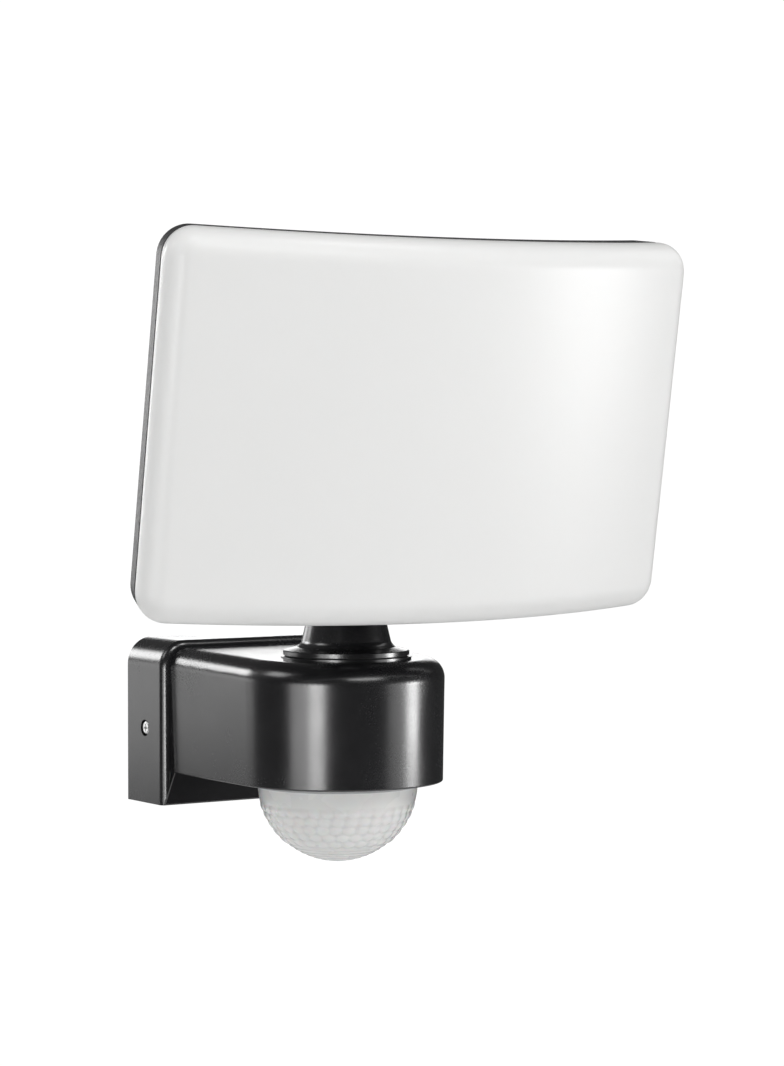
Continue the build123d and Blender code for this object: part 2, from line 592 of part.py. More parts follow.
# ---------------------------------------------------------------- control board in the arm
# Footprints on the board's underside, as (left, back, right, front), and how far each piece hangs down.
CONTROL_BOARD = (-30.5, -34.0, 30.5, -75.0)
CORE_PRINT = (-22.0, -47.0, 0.0, -63.0)
CORE_TALL = 16.0
COIL_PRINT = (-18.0, -44.0, -4.0, -66.0)
COIL_HEIGHTS = (3.0, 13.0)          # the coil's top and bottom, below the board
RELAY_PRINT = (6.0, -54.0, 21.0, -73.0)
RELAY_TALL = 15.0
CAN_PLACE = (14.0, -44.0)
CAN_RADIUS = 5.0
CAN_TALL = 17.0
FILM_PRINT = (-4.0, -36.0, 5.0, -42.5)
FILM_TALL = 11.0
SMALL_ROUND = 0.8


def slab(footprint, low, high):
    left, back, right, front = footprint
    return block((left, front, low), (right, back, high))


def control_board():
    board = slab(CONTROL_BOARD, BOARD_Z, BOARD_Z + BOARD_THICK)
    for x, y in standoff_places():
        board -= rod((x, y, BOARD_Z - OVER), (0, 0, 1), COVER_SCREW_RADIUS + HOLE_SLACK,
                     BOARD_THICK + 2 * OVER)
    return board


def board_screws():
    return group(pan_screw((x, y, BOARD_Z - TOUCH), (0, 0, 1), 2.3, 1.5, COVER_SCREW_RADIUS,
                           BOARD_SCREW_LENGTH) for x, y in standoff_places())


def transformer():
    """A laminated core with the coil former through its window."""
    top = BOARD_Z - TOUCH
    high, low = COIL_HEIGHTS
    coil = slab(COIL_PRINT, top - low, top - high)
    core = slab(CORE_PRINT, top - CORE_TALL, top) - coil
    return core + fillet(coil.edges().filter_by(Axis.Y), 2)


def relay():
    top = BOARD_Z - TOUCH
    body = slab(RELAY_PRINT, top - RELAY_TALL, top)
    return fillet(body.edges().filter_by(Axis.Z), SMALL_ROUND)


def capacitors():
    top = BOARD_Z - TOUCH
    can = rod((*CAN_PLACE, top - CAN_TALL), (0, 0, 1), CAN_RADIUS, CAN_TALL)
    can = fillet(can.edges().filter_by(GeomType.CIRCLE).sort_by(Axis.Z)[0], SMALL_ROUND)
    film = slab(FILM_PRINT, top - FILM_TALL, top)
    return group([can, fillet(film.edges().filter_by(Axis.Z), SMALL_ROUND)])


# ---------------------------------------------------------------- swivel neck
CONE_SIDE = ((17.5, 34.3), (13.4, 52.0))    # radius and height at the two ends of the cone
COLUMN_BLEND_Z = 60.0
BOLT_RADIUS = 3.0
LEAD_RADIUS = 2.8
LEAD_BORE = 3.4
LEAD_OFFSET = -7.2          # the lead runs in front of the tilt bolt
LEAD_TURN_Z = 93.0
LEAD_BEND = 3.3
LEAD_TAIL = 6.0             # how far the lead hangs out of the spigot
LEAD_REACH = 6.5
NUT_TOP = 23.8
NUT_THICK = 5.6
WASHER_THICK = 1.5
WASHER_RADIUS = 17.5
NUT_FLATS = 34.0
CONE_ROUND = 3.0
FLANGE_CHAMFER = 0.3
STEP = (1.6, 1.5)           # the cone's foot: how much wider and lower the step below it is
BARREL_CUT = 9.0            # width cut away beside the barrel
BARREL_ROOM = 20.0
SEAL_INNER = 20.0
SEAL_INSET = 0.9
SEAL_THICK = 0.55
SEAL_GAP = 0.02


def neck():
    (low_r, low_z), (high_r, high_z) = CONE_SIDE
    outline = [
        (0, SPIGOT_BOTTOM), (SPIGOT_RADIUS, SPIGOT_BOTTOM), (SPIGOT_RADIUS, FLANGE_BOTTOM),
        (FLANGE_RADIUS, FLANGE_BOTTOM), (FLANGE_RADIUS, FLANGE_TOP - FLANGE_CHAMFER),
        (FLANGE_RADIUS - FLANGE_CHAMFER, FLANGE_TOP), (low_r + STEP[0], low_z - STEP[1]), (low_r, low_z),
        (high_r, high_z), (SPIGOT_RADIUS, COLUMN_BLEND_Z), (SPIGOT_RADIUS, HINGE_Z), (0, HINGE_Z),
    ]
    face = Plane.XZ * make_face(Polyline(*outline, close=True))
    bend = [v for v in face.vertices() if abs(v.X - low_r) < NEAR or abs(v.X - high_r) < NEAR]
    face = fillet(bend, CONE_ROUND)
    body = Pos(0, NECK_Y, 0) * revolve(face, Axis.Z)
    body += rod((-SPIGOT_RADIUS, NECK_Y, HINGE_Z), (1, 0, 0), BARREL_RADIUS, 2 * SPIGOT_RADIUS)
    for side in (-1, 1):
        near, far = side * BARREL_HALF, side * (BARREL_HALF + BARREL_CUT)
        body -= block((min(near, far), NECK_Y - BARREL_ROOM, HINGE_Z - BARREL_RADIUS - 4),
                      (max(near, far), NECK_Y + BARREL_ROOM, HINGE_Z + BARREL_ROOM))
    body -= rod((-BARREL_ROOM, NECK_Y, HINGE_Z), (1, 0, 0), BOLT_RADIUS + CLEAR, 2 * BARREL_ROOM)
    lead_y = NECK_Y + LEAD_OFFSET
    body -= rod((0, lead_y, SPIGOT_BOTTOM - OVER), (0, 0, 1), LEAD_BORE, LEAD_TURN_Z - SPIGOT_BOTTOM + OVER)
    body -= Pos(0, lead_y, LEAD_TURN_Z) * Sphere(LEAD_BORE)
    return body - rod((0, lead_y, LEAD_TURN_Z), (0, -1, 0), LEAD_BORE, BARREL_RADIUS)


def neck_lead():
    """The lead from the arm, up through the neck and out at the front of the hinge barrel."""
    y = NECK_Y + LEAD_OFFSET
    corners = [(0, y, SPIGOT_BOTTOM - LEAD_TAIL), (0, y, LEAD_TURN_Z), (0, y - LEAD_REACH, LEAD_TURN_Z)]
    path = FilletPolyline(*corners, radius=LEAD_BEND)
    return sweep(Plane(origin=path @ 0, z_dir=path % 0) * Circle(LEAD_RADIUS), path=path)


def neck_nut():
    nut = hexagon_prism((0, NECK_Y, NUT_TOP - NUT_THICK), (0, 0, 1), NUT_FLATS, NUT_THICK)
    return nut - rod((0, NECK_Y, 0), (0, 0, 1), SPIGOT_RADIUS + CLEAR, NUT_TOP + OVER)


def friction_washer():
    return ring((0, NECK_Y, NUT_TOP + TOUCH), (0, 0, 1), WASHER_RADIUS, SPIGOT_RADIUS + 0.3, WASHER_THICK)


def neck_seal():
    outer = FLANGE_RADIUS - SEAL_INSET
    return ring((0, NECK_Y, SEAT_TOP + SEAL_GAP), (0, 0, 1), outer, SEAL_INNER, SEAL_THICK)


# ---------------------------------------------------------------- lamp head
# Head pieces are made in the head's own frame: the origin is the centre of the curved front, +Y
# goes back into the head, so depth is Y on the centre line. HEAD_PLACE puts them on the object.
HEAD_PLACE = Pos(0, HEAD_Y, HEAD_Z) * Rot(HEAD_TILT, 0, 0)

# The tilt axis in the head's own frame.
TILT_COS = cos(radians(HEAD_TILT))
TILT_SIN = sin(radians(HEAD_TILT))
HINGE_BACK = (NECK_Y - HEAD_Y) * TILT_COS + (HINGE_Z - HEAD_Z) * TILT_SIN
HINGE_UP = (HINGE_Z - HEAD_Z) * TILT_COS - (NECK_Y - HEAD_Y) * TILT_SIN

POD_HALF = 44.0             # driver pod on the back of the housing
POD_TOP = -2.0
POD_BOTTOM = -64.0
POD_BACK = 43.0
POD_WALL = 3.0
POD_ROUND = 5.0
EAR_INNER = 12.15
EAR_THICK = 7.5
EAR_ROOT = 20.0             # half height of an ear where it leaves the pod
FIN_THICK = 2.2
FIN_HEIGHT = 7.0
FIN_PITCH = 2.1             # degrees
FIN_FIRST = 8.6
FIN_SLANT = 0.7             # cut at a fin's ends, as a share of its height
FIN_COUNT = 5
FIN_REACH = 60.0
UPPER_FINS = 7
PILLAR_RADIUS = 3.4
PILLAR_INSET = 9.0
HEAD_SCREW_RADIUS = 1.5
STRIP_ANGLES = (-14.4, -7.2, 0.0, 7.2, 14.4)
STRIP_WIDTH = 15.0
STRIP_LENGTH = 118.0
STRIP_BACK = 19.9
STRIP_THICK = 1.5
PLATE_FRONT = 20.0
PLATE_BACK = 21.3
PLATE_INSET = 6.5
CHIPS_PER_STRIP = 7
CHIP_SIZE = 5.0
CHIP_THICK = 0.8
CHIP_GAP = 0.02
STRIP_GAP = 0.1
TONGUE_LENGTH = 3.4
TONGUE_SLACK = 0.2
TONGUE_WALL = 2.0
SEAL_EDGE = 0.9             # the rubber seal's outer edge, behind the head's outline
PILLAR_MIDDLE = 0.42        # place of the inner pillars, as a share of the way to the outer ones
HEAD_SCREW_LENGTH = 10.0
HEAD_SCREW_SINK = 0.8
HEAD_SCREW_RECESS = 3.2
PLATE_SCREW_HEIGHT = 62.5
PLATE_SCREW_TURNS = (-10.8, 0.0, 10.8)
PLATE_SCREW_RADIUS = 1.25
PLATE_SCREW_LENGTH = 3.0
PLATE_CORNER_ROUND = 6.0
PLATE_LEAD_HOLE = (26.0, -8.0)
PLATE_LEAD_RADIUS = 3.0
DRIVER_LEFT = -34.0
DRIVER_RIGHT = 18.0
DRIVER_HALF_TALL = 22.0
DRIVER_GAP = 2.4
GLAND_RADIUS = 6.0
GLAND_FLANGE = 8.0
GLAND_FLANGE_THICK = 2.2
GLAND_CONE = (6.2, 4.2, 5.0)


def curved_block(inset, front, back, corner, front_round=0.0, draft=0.0, back_round=0.0):
    """A rounded slab bent to the head's curve, between two depths behind the front face."""
    half_angle = (HEAD_ARC / 2 - inset) / HEAD_RADIUS
    high = HEAD_HEIGHT / 2 - inset
    low = high - (back - front) * tan(radians(draft))
    near, far = HEAD_RADIUS - front, HEAD_RADIUS - back
    corners = ((far, -low), (near, -high), (near, high), (far, low))
    section = Plane.XZ * make_face(Polyline(*corners, close=True))
    body = revolve(section, Axis.Z, revolution_arc=degrees(2 * half_angle))
    body = Pos(0, HEAD_RADIUS, 0) * Rot(0, 0, -90 - degrees(half_angle)) * body
    spokes = [e for e in body.edges().filter_by(GeomType.LINE) if abs(e.center().Z) > low * 0.9]
    body = fillet(spokes, corner)
    axis = Vector(0, HEAD_RADIUS, 0)
    for radius, rounding in ((near, front_round), (far, back_round)):
        if rounding > 0:
            rim = [e for e in body.edges() if on_cylinder(e, axis, radius)]
            body = fillet(rim, rounding)
    return body


def on_cylinder(edge, axis, radius):
    points = [edge @ t for t in (0.0, 0.3, 0.5, 0.8, 1.0)]
    return all(abs((Vector(p.X, p.Y, 0) - axis).length - radius) < 2 * NEAR for p in points)


def spoke(angle, depth, height):
    """The point at an angle round the head's curve, and the direction that leads back from it."""
    a = radians(angle)
    reach = HEAD_RADIUS - depth
    return (reach * sin(a), HEAD_RADIUS - reach * cos(a), height), (-sin(a), cos(a), 0)


def spoke_box(angle, depth, height, width, thick, tall):
    """A box that lies against the curve, with its front face at the given depth."""
    place, _ = spoke(angle, depth + thick / 2, height)
    return Pos(*place) * Rot(0, 0, angle) * Box(width, thick, tall)


def pillar_spots():
    edge = degrees((HEAD_ARC / 2 - PILLAR_INSET) / HEAD_RADIUS)
    high = HEAD_HEIGHT / 2 - PILLAR_INSET
    inner = edge * PILLAR_MIDDLE
    return [(turn, side * high) for side in (-1, 1) for turn in (-edge, -inner, inner, edge)]


def diffuser():
    """The opal cover: a curved tray with a tongue that enters the housing and screw pillars."""
    wall = DIFFUSER_WALL
    root = DIFFUSER_DEPTH - TONGUE_WALL
    body = curved_block(0, 0, DIFFUSER_DEPTH, HEAD_CORNER, DIFFUSER_ROUND)
    body -= curved_block(wall, wall, DIFFUSER_DEPTH + OVER, HEAD_CORNER - wall, DIFFUSER_ROUND - wall)
    end = DIFFUSER_DEPTH + TONGUE_LENGTH
    tongue = curved_block(RIM_WALL + TONGUE_SLACK, root, end, HEAD_CORNER - RIM_WALL)
    tongue += curved_block(wall - 0.5, root, DIFFUSER_DEPTH, HEAD_CORNER - wall)
    inset = wall + TONGUE_WALL
    body += tongue - curved_block(inset, root - OVER, end + OVER, HEAD_CORNER - inset)
    for angle, height in pillar_spots():
        front, back = spoke(angle, wall - 0.6, height)
        body += rod(front, back, PILLAR_RADIUS, FLOOR_DEPTH - wall + 0.55)
        hole, back = spoke(angle, FLOOR_DEPTH - HEAD_SCREW_LENGTH + OVER, height)
        body -= rod(hole, back, HEAD_SCREW_RADIUS + CLEAR, HEAD_SCREW_LENGTH)
    return body


def diffuser_seal():
    front, back = DIFFUSER_DEPTH + TOUCH, RIM_START - TOUCH
    body = curved_block(SEAL_EDGE, front, back, HEAD_CORNER - SEAL_EDGE)
    return body - curved_block(RIM_WALL + 0.1, front - OVER, back + OVER, HEAD_CORNER - RIM_WALL)


def ear_plate(side):
    """One hinge ear: a tapered plate from the pod to the tilt axis."""
    root = POD_BACK - 6
    eye = Pos(HINGE_BACK, HINGE_UP) * Circle(BARREL_RADIUS)
    middle = HINGE_UP
    base = Pos(root + 2, middle) * Rectangle(4, 2 * EAR_ROOT)
    plate = make_hull(eye.edges() + base.edges())
    plate = Plane(origin=(0, 0, 0), x_dir=(0, 1, 0), z_dir=(1, 0, 0)) * plate
    near = EAR_INNER if side > 0 else -EAR_INNER - EAR_THICK
    return Pos(near, 0, 0) * extrude(plate, EAR_THICK, dir=(1, 0, 0))


def rear_housing():
    """The die-cast back: curved tray, driver pod, cooling fins and the two hinge ears."""
    body = curved_block(0, RIM_START, HEAD_DEPTH, HEAD_CORNER, 0, RIM_DRAFT, RIM_BACK_EDGE)
    pod = block((-POD_HALF, FLOOR_DEPTH, POD_BOTTOM), (POD_HALF, POD_BACK, POD_TOP))
    pod = fillet(pod.edges().filter_by(Axis.Y), POD_ROUND + 2)
    pod = fillet(pod.faces().sort_by(Axis.Y)[-1].edges(), POD_ROUND)
    body += pod
    for side in (-1, 1):
        body += ear_plate(side)
    for i in range(FIN_COUNT):
        for side in (-1, 1):
            body += fin(side * (FIN_FIRST + i * FIN_PITCH), -FIN_REACH, FIN_REACH)
    for i in range(UPPER_FINS):
        body += fin((i - (UPPER_FINS - 1) / 2) * FIN_PITCH, POD_TOP + 5, FIN_REACH)
    body -= curved_block(RIM_WALL, RIM_START - OVER, FLOOR_DEPTH, HEAD_CORNER - RIM_WALL)
    cavity = block((-POD_HALF + POD_WALL, FLOOR_DEPTH - OVER, POD_BOTTOM + POD_WALL),
                   (POD_HALF - POD_WALL, POD_BACK - POD_WALL, POD_TOP - POD_WALL))
    body -= fillet(cavity.edges().filter_by(Axis.Y), POD_ROUND)
    for angle, height in pillar_spots():
        front, back = spoke(angle, FLOOR_DEPTH - OVER, height)
        body -= rod(front, back, HEAD_SCREW_RADIUS + HOLE_SLACK, HEAD_SCREW_LENGTH)
        front, back = spoke(angle, HEAD_DEPTH - HEAD_SCREW_SINK, height)
        body -= rod(front, back, HEAD_SCREW_RECESS, FIN_HEIGHT)
    for angle, height in plate_screw_spots():
        front, back = spoke(angle, FLOOR_DEPTH - 2 * OVER, height)
        body -= rod(front, back, PLATE_SCREW_RADIUS + CLEAR, PLATE_SCREW_LENGTH + 0.6)
    body -= rod((-POD_HALF, HINGE_BACK, HINGE_UP), (1, 0, 0), BOLT_RADIUS + CLEAR, 2 * POD_HALF)
    gland_hole = (0, POD_BACK - 2 * POD_WALL, HINGE_UP)
    return body - rod(gland_hole, (0, 1, 0), GLAND_RADIUS + TOUCH, 3 * POD_WALL)


def fin(angle, low, high):
    """A cooling fin: it starts inside the back wall and its two ends are cut at a slant."""
    place, _ = spoke(angle, HEAD_DEPTH + FIN_HEIGHT / 2 - OVER, (low + high) / 2)
    blade = Box(FIN_THICK, FIN_HEIGHT + 2 * OVER, high - low)
    blade = chamfer(blade.faces().sort_by(Axis.Y)[-1].edges().filter_by(Axis.X), FIN_HEIGHT * FIN_SLANT)
    return Pos(*place) * Rot(0, 0, angle) * blade


def housing_screws():
    screws = []
    for angle, height in pillar_spots():
        seat, back = spoke(angle, HEAD_DEPTH - HEAD_SCREW_SINK + TOUCH, height)
        forward = tuple(-b for b in back)
        screws.append(pan_screw(seat, forward, 2.8, 1.8, HEAD_SCREW_RADIUS, HEAD_SCREW_LENGTH))
    return group(screws)


def plate_screw_spots():
    return [(turn, side * PLATE_SCREW_HEIGHT) for side in (-1, 1) for turn in PLATE_SCREW_TURNS]


def led_plate():
    """The curved aluminium sheet that carries the light strips and closes the pod."""
    plate = curved_block(PLATE_INSET, PLATE_FRONT, PLATE_BACK, PLATE_CORNER_ROUND)
    through = PLATE_BACK - PLATE_FRONT + 2 * OVER
    for angle, height in pillar_spots():
        front, back = spoke(angle, PLATE_FRONT - OVER, height)
        plate -= rod(front, back, PILLAR_RADIUS + 2 * HOLE_SLACK, through)
    for angle, height in plate_screw_spots():
        front, back = spoke(angle, PLATE_FRONT - OVER, height)
        plate -= rod(front, back, PLATE_SCREW_RADIUS + HOLE_SLACK, through)
    x, z = PLATE_LEAD_HOLE
    return plate - rod((x, PLATE_FRONT - OVER, z), (0, 1, 0), PLATE_LEAD_RADIUS, 2 * through)


def plate_screws():
    screws = []
    for angle, height in plate_screw_spots():
        seat, back = spoke(angle, PLATE_FRONT - TOUCH, height)
        screws.append(pan_screw(seat, back, 2.4, 1.6, PLATE_SCREW_RADIUS, PLATE_SCREW_LENGTH))
    return group(screws)


def led_strips():
    thick = STRIP_THICK - STRIP_GAP
    return group(spoke_box(angle, STRIP_BACK - STRIP_THICK, 0, STRIP_WIDTH, thick, STRIP_LENGTH)
                 for angle in STRIP_ANGLES)


def led_chips():
    pitch = STRIP_LENGTH / CHIPS_PER_STRIP
    front = STRIP_BACK - STRIP_THICK - CHIP_THICK - CHIP_GAP
    heights = [(i - (CHIPS_PER_STRIP - 1) / 2) * pitch for i in range(CHIPS_PER_STRIP)]
    return group(spoke_box(angle, front, height, CHIP_SIZE, CHIP_THICK, CHIP_SIZE)
                 for angle in STRIP_ANGLES for height in heights)


def led_driver():
    """The potted power supply in the pod."""
    middle = (POD_TOP + POD_BOTTOM) / 2
    body = block((DRIVER_LEFT, FLOOR_DEPTH + DRIVER_GAP, middle - DRIVER_HALF_TALL),
                 (DRIVER_RIGHT, POD_BACK - POD_WALL - 2 * DRIVER_GAP, middle + DRIVER_HALF_TALL))
    body = fillet(body.edges().filter_by(Axis.Y), 2.5)
    return chamfer(body.faces().sort_by(Axis.Y)[0].edges(), SMALL_ROUND)


def lead_gland():
    """The rubber bush where the lead enters the pod, between the ears."""
    start = (0, POD_BACK - POD_WALL - 1.5, HINGE_UP)
    body = ring(start, (0, 1, 0), GLAND_RADIUS, LEAD_RADIUS + TOUCH, POD_WALL + 3)
    mouth = (0, POD_BACK + TOUCH, HINGE_UP)
    collar = ring(mouth, (0, 1, 0), GLAND_FLANGE, LEAD_RADIUS + TOUCH, GLAND_FLANGE_THICK)
    place = Pos(0, POD_BACK + GLAND_FLANGE_THICK, HINGE_UP) * Rot(-90, 0, 0)
    tip = place * Cone(*GLAND_CONE, align=UPWARD)
    return body + collar + (tip - rod(mouth, (0, 1, 0), LEAD_RADIUS + TOUCH, 2 * GLAND_FLANGE))


def head_lead():
    """The lead's last stretch, from the gap in front of the barrel to the driver."""
    return rod((0, POD_BACK - POD_WALL - 4, HINGE_UP), (0, 1, 0), LEAD_RADIUS, 18)


# ---------------------------------------------------------------- tilt bolt, on the head's side
BOLT_HEAD_FLATS = 10.0
BOLT_HEAD_THICK = 4.0
TILT_NUT_THICK = 5.0
TILT_WASHER = 1.6           # room for an outer washer
FRICTION_THICK = 1.0
EAR_OUTER = EAR_INNER + EAR_THICK


def tilt_bolt():
    seat = -EAR_OUTER - TILT_WASHER - TOUCH
    tip = EAR_OUTER + TILT_WASHER + TILT_NUT_THICK + 2
    start = (seat - BOLT_HEAD_THICK, NECK_Y, HINGE_Z)
    head = hexagon_prism(start, (1, 0, 0), BOLT_HEAD_FLATS, BOLT_HEAD_THICK)
    return head + rod((seat, NECK_Y, HINGE_Z), (1, 0, 0), BOLT_RADIUS, tip - seat)


def tilt_nut():
    start = (EAR_OUTER + TILT_WASHER + TOUCH, NECK_Y, HINGE_Z)
    nut = hexagon_prism(start, (1, 0, 0), BOLT_HEAD_FLATS, TILT_NUT_THICK)
    return nut - rod((0, NECK_Y, HINGE_Z), (1, 0, 0), BOLT_RADIUS + CLEAR, 3 * EAR_OUTER)


def tilt_washers():
    bore = BOLT_RADIUS + CLEAR
    outer = [ring((x, NECK_Y, HINGE_Z), (1, 0, 0), 6.0, bore, TILT_WASHER - 0.1)
             for x in (EAR_OUTER + TOUCH, -EAR_OUTER - TILT_WASHER + TOUCH)]
    friction = [ring((x, NECK_Y, HINGE_Z), (1, 0, 0), 10.0, bore, FRICTION_THICK)
                for x in (BARREL_HALF + 0.08, -BARREL_HALF - 0.08 - FRICTION_THICK)]
    return group(outer + friction)


# ---------------------------------------------------------------- write every piece
FIXED = {
    "arm_housing": arm_housing, "wall_plate": wall_plate, "cable_grommet": cable_grommet,
    "terminal_block": terminal_block, "terminal_clamps": terminal_clamps,
    "terminal_screws": terminal_screws, "earth_screw": earth_screw, "side_screws": side_screws,
    "sensor_cover": sensor_cover, "cover_screws": cover_screws, "pir_lens": pir_lens,
    "lens_ring": lens_ring, "pyro_holder": pyro_holder, "pyro_sensors": pyro_sensors,
    "sensor_board": sensor_board, "light_sensor": light_sensor, "adjuster_pots": adjuster_pots,
    "adjuster_board": adjuster_board, "adjuster_screws": adjuster_screws,
    "control_board": control_board, "board_screws": board_screws, "transformer": transformer,
    "relay": relay, "capacitors": capacitors, "neck": neck, "neck_lead": neck_lead,
    "neck_nut": neck_nut, "friction_washer": friction_washer, "neck_seal": neck_seal,
    "tilt_bolt": tilt_bolt, "tilt_nut": tilt_nut, "tilt_washers": tilt_washers,
}
ON_HEAD = {
    "diffuser": diffuser, "diffuser_seal": diffuser_seal, "rear_housing": rear_housing,
    "housing_screws": housing_screws, "led_plate": led_plate, "plate_screws": plate_screws,
    "led_strips": led_strips, "led_chips": led_chips, "led_driver": led_driver,
    "lead_gland": lead_gland, "head_lead": head_lead,
}

pieces = {name: make() for name, make in FIXED.items()}
pieces["wall_gasket"] = gasket_frame(0)
pieces.update({name: knob(x) for name, x in knob_places().items()})
pieces.update({name: HEAD_PLACE * make() for name, make in ON_HEAD.items()})

for name, shape in pieces.items():
    export_step(shape, f"parts/{name}.step")
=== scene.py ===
import json
from math import cos, pi, radians, sin

import bmesh
import bpy
from mathutils import Matrix, Vector


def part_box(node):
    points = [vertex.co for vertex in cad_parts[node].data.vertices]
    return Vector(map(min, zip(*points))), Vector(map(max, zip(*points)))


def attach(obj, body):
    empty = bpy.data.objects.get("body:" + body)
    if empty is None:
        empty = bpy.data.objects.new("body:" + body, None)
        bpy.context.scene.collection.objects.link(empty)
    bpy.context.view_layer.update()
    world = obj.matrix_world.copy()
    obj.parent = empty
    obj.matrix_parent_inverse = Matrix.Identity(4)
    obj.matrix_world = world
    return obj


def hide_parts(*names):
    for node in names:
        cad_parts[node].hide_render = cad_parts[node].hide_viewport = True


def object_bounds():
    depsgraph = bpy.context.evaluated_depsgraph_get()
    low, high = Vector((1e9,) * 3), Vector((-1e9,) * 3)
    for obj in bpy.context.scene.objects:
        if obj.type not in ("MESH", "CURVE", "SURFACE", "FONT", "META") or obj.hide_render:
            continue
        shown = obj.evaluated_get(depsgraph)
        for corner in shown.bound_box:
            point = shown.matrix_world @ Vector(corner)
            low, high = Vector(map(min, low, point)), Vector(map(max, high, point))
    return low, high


# A wall floodlight with a motion sensor dome. Everything is in metres, in the CAD's frame: the wall
# is Y = 0, the light reaches out towards -Y, +X is to the right seen from the front, +Z is up.
# The opal front and the sensor dome are rebuilt here as cleaner meshes, from the same dimensions in
# millimetres as the CAD model; every other piece is its CAD mesh with a procedural material.

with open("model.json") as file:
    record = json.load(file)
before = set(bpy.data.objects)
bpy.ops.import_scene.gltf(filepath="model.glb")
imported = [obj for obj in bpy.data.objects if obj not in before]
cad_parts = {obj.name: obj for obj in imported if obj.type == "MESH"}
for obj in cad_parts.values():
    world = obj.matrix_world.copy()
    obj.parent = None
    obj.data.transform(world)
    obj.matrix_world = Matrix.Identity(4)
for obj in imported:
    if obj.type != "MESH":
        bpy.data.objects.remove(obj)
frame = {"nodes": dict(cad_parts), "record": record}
cad_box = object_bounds()
NODES = frame["nodes"]
MM = 0.001


# ---------------------------------------------------------------- material building blocks
class Nodes:
    """A material, with short ways to make its shader nodes and link them."""

    def __init__(self, name):
        self.material = bpy.data.materials.new(name)
        self.material.use_nodes = True
        self.tree = self.material.node_tree
        self.shader = self.tree.nodes["Principled BSDF"]

    def add(self, kind, links=(), **values):
        """A new node: in_NAME sets a socket, any other value sets a property of the node."""
        node = self.tree.nodes.new(kind)
        for key, value in values.items():
            if key.startswith("in_"):
                node.inputs[key[3:].replace("_", " ")].default_value = value
            else:
                setattr(node, key, value)
        for socket, source in dict(links).items():
            self.tree.links.new(source, node.inputs[socket])
        return node

    def position(self):
        return self.add("ShaderNodeTexCoord").outputs["Object"]

    def stretched(self, scale):
        return self.add("ShaderNodeMapping", {"Vector": self.position()}, in_Scale=scale).outputs[0]

    def noise(self, scale, detail=3.0, vector=None):
        node = self.add("ShaderNodeTexNoise", {"Vector": vector or self.position()},
                        in_Scale=scale, in_Detail=detail, in_Roughness=0.55)
        return node.outputs["Fac"]

    def ramp(self, value, low, high, start=0.3, end=0.7):
        """value between start and end, where most of a noise lies, spread to low..high."""
        node = self.add("ShaderNodeMapRange", {"Value": value})
        node.inputs["From Min"].default_value = start
        node.inputs["From Max"].default_value = end
        node.inputs["To Min"].default_value = low
        node.inputs["To Max"].default_value = high
        return node.outputs[0]

    def math(self, operation, a, b):
        node = self.add("ShaderNodeMath", operation=operation)
        for socket, source in zip(node.inputs, (a, b)):
            if isinstance(source, float):
                socket.default_value = source
            else:
                self.tree.links.new(source, socket)
        return node.outputs[0]

    def mix(self, factor, a, b):
        """Colour a where factor is 0, colour b where it is 1."""
        node = self.add("ShaderNodeMix", data_type="RGBA")
        for socket, source in ((node.inputs[0], factor), (node.inputs[6], a), (node.inputs[7], b)):
            if isinstance(source, tuple):
                socket.default_value = source
            else:
                self.tree.links.new(source, socket)
        return node.outputs[2]

    def edges(self, radius):
        """1 on edges and corners, 0 on flat ground, from the bevelled normal."""
        bevel = self.add("ShaderNodeBevel", samples=4, in_Radius=radius).outputs[0]
        flat = self.add("ShaderNodeNewGeometry").outputs["Normal"]
        dot = self.add("ShaderNodeVectorMath", {0: bevel, 1: flat}, operation="DOT_PRODUCT").outputs["Value"]
        return self.ramp(dot, 1.0, 0.0, start=0.75, end=0.99)

    def worn(self, tone, bare, radius, amount):
        """tone, with its edges rubbed towards the colour bare."""
        return self.mix(self.math("MULTIPLY", self.edges(radius), amount), tone, bare)

    def bump(self, height, strength, distance, base=None):
        links = {"Height": height}
        if base is not None:
            links["Normal"] = base
        return self.add("ShaderNodeBump", links, in_Strength=strength, in_Distance=distance).outputs[0]

    def set(self, **values):
        """Shader sockets by name, each from a number or a node's output."""
        for key, value in values.items():
            socket = self.shader.inputs[key.replace("_", " ")]
            if isinstance(value, float):
                socket.default_value = value
            else:
                self.tree.links.new(value, socket)


def rgba(colour, gain=1.0):
    return tuple(min(1.0, c * gain) for c in colour) + (1.0,)


def slot_colour(slot):
    for entry in frame["record"]["materials"]:
        if entry["slot"] == slot:
            return tuple(entry["base_color"])
    raise KeyError(slot)


# ---------------------------------------------------------------- the materials
def satin_paint(slot):
    """Sprayed satin paint: faint orange peel, cloudy gloss and a slightly worn edge."""
    m = Nodes(slot)
    colour = slot_colour(slot)
    cloud = m.noise(scale=38.0, detail=4.0)
    fine = m.noise(scale=1500.0, detail=2.0)
    tone = m.mix(m.ramp(cloud, 0.0, 1.0), rgba(colour, gain=0.45), rgba(colour, gain=0.65))
    peel = m.bump(m.noise(scale=420.0, detail=2.0), strength=0.10, distance=0.00006)
    m.set(Base_Color=m.worn(tone, rgba(colour, gain=2.4), radius=0.0006, amount=0.16),
          Specular_IOR_Level=1.0,
          Roughness=m.math("ADD", m.ramp(cloud, 0.22, 0.28), m.ramp(fine, -0.02, 0.02)),
          Normal=m.bump(fine, strength=0.06, distance=0.00002, base=peel))
    return m.material


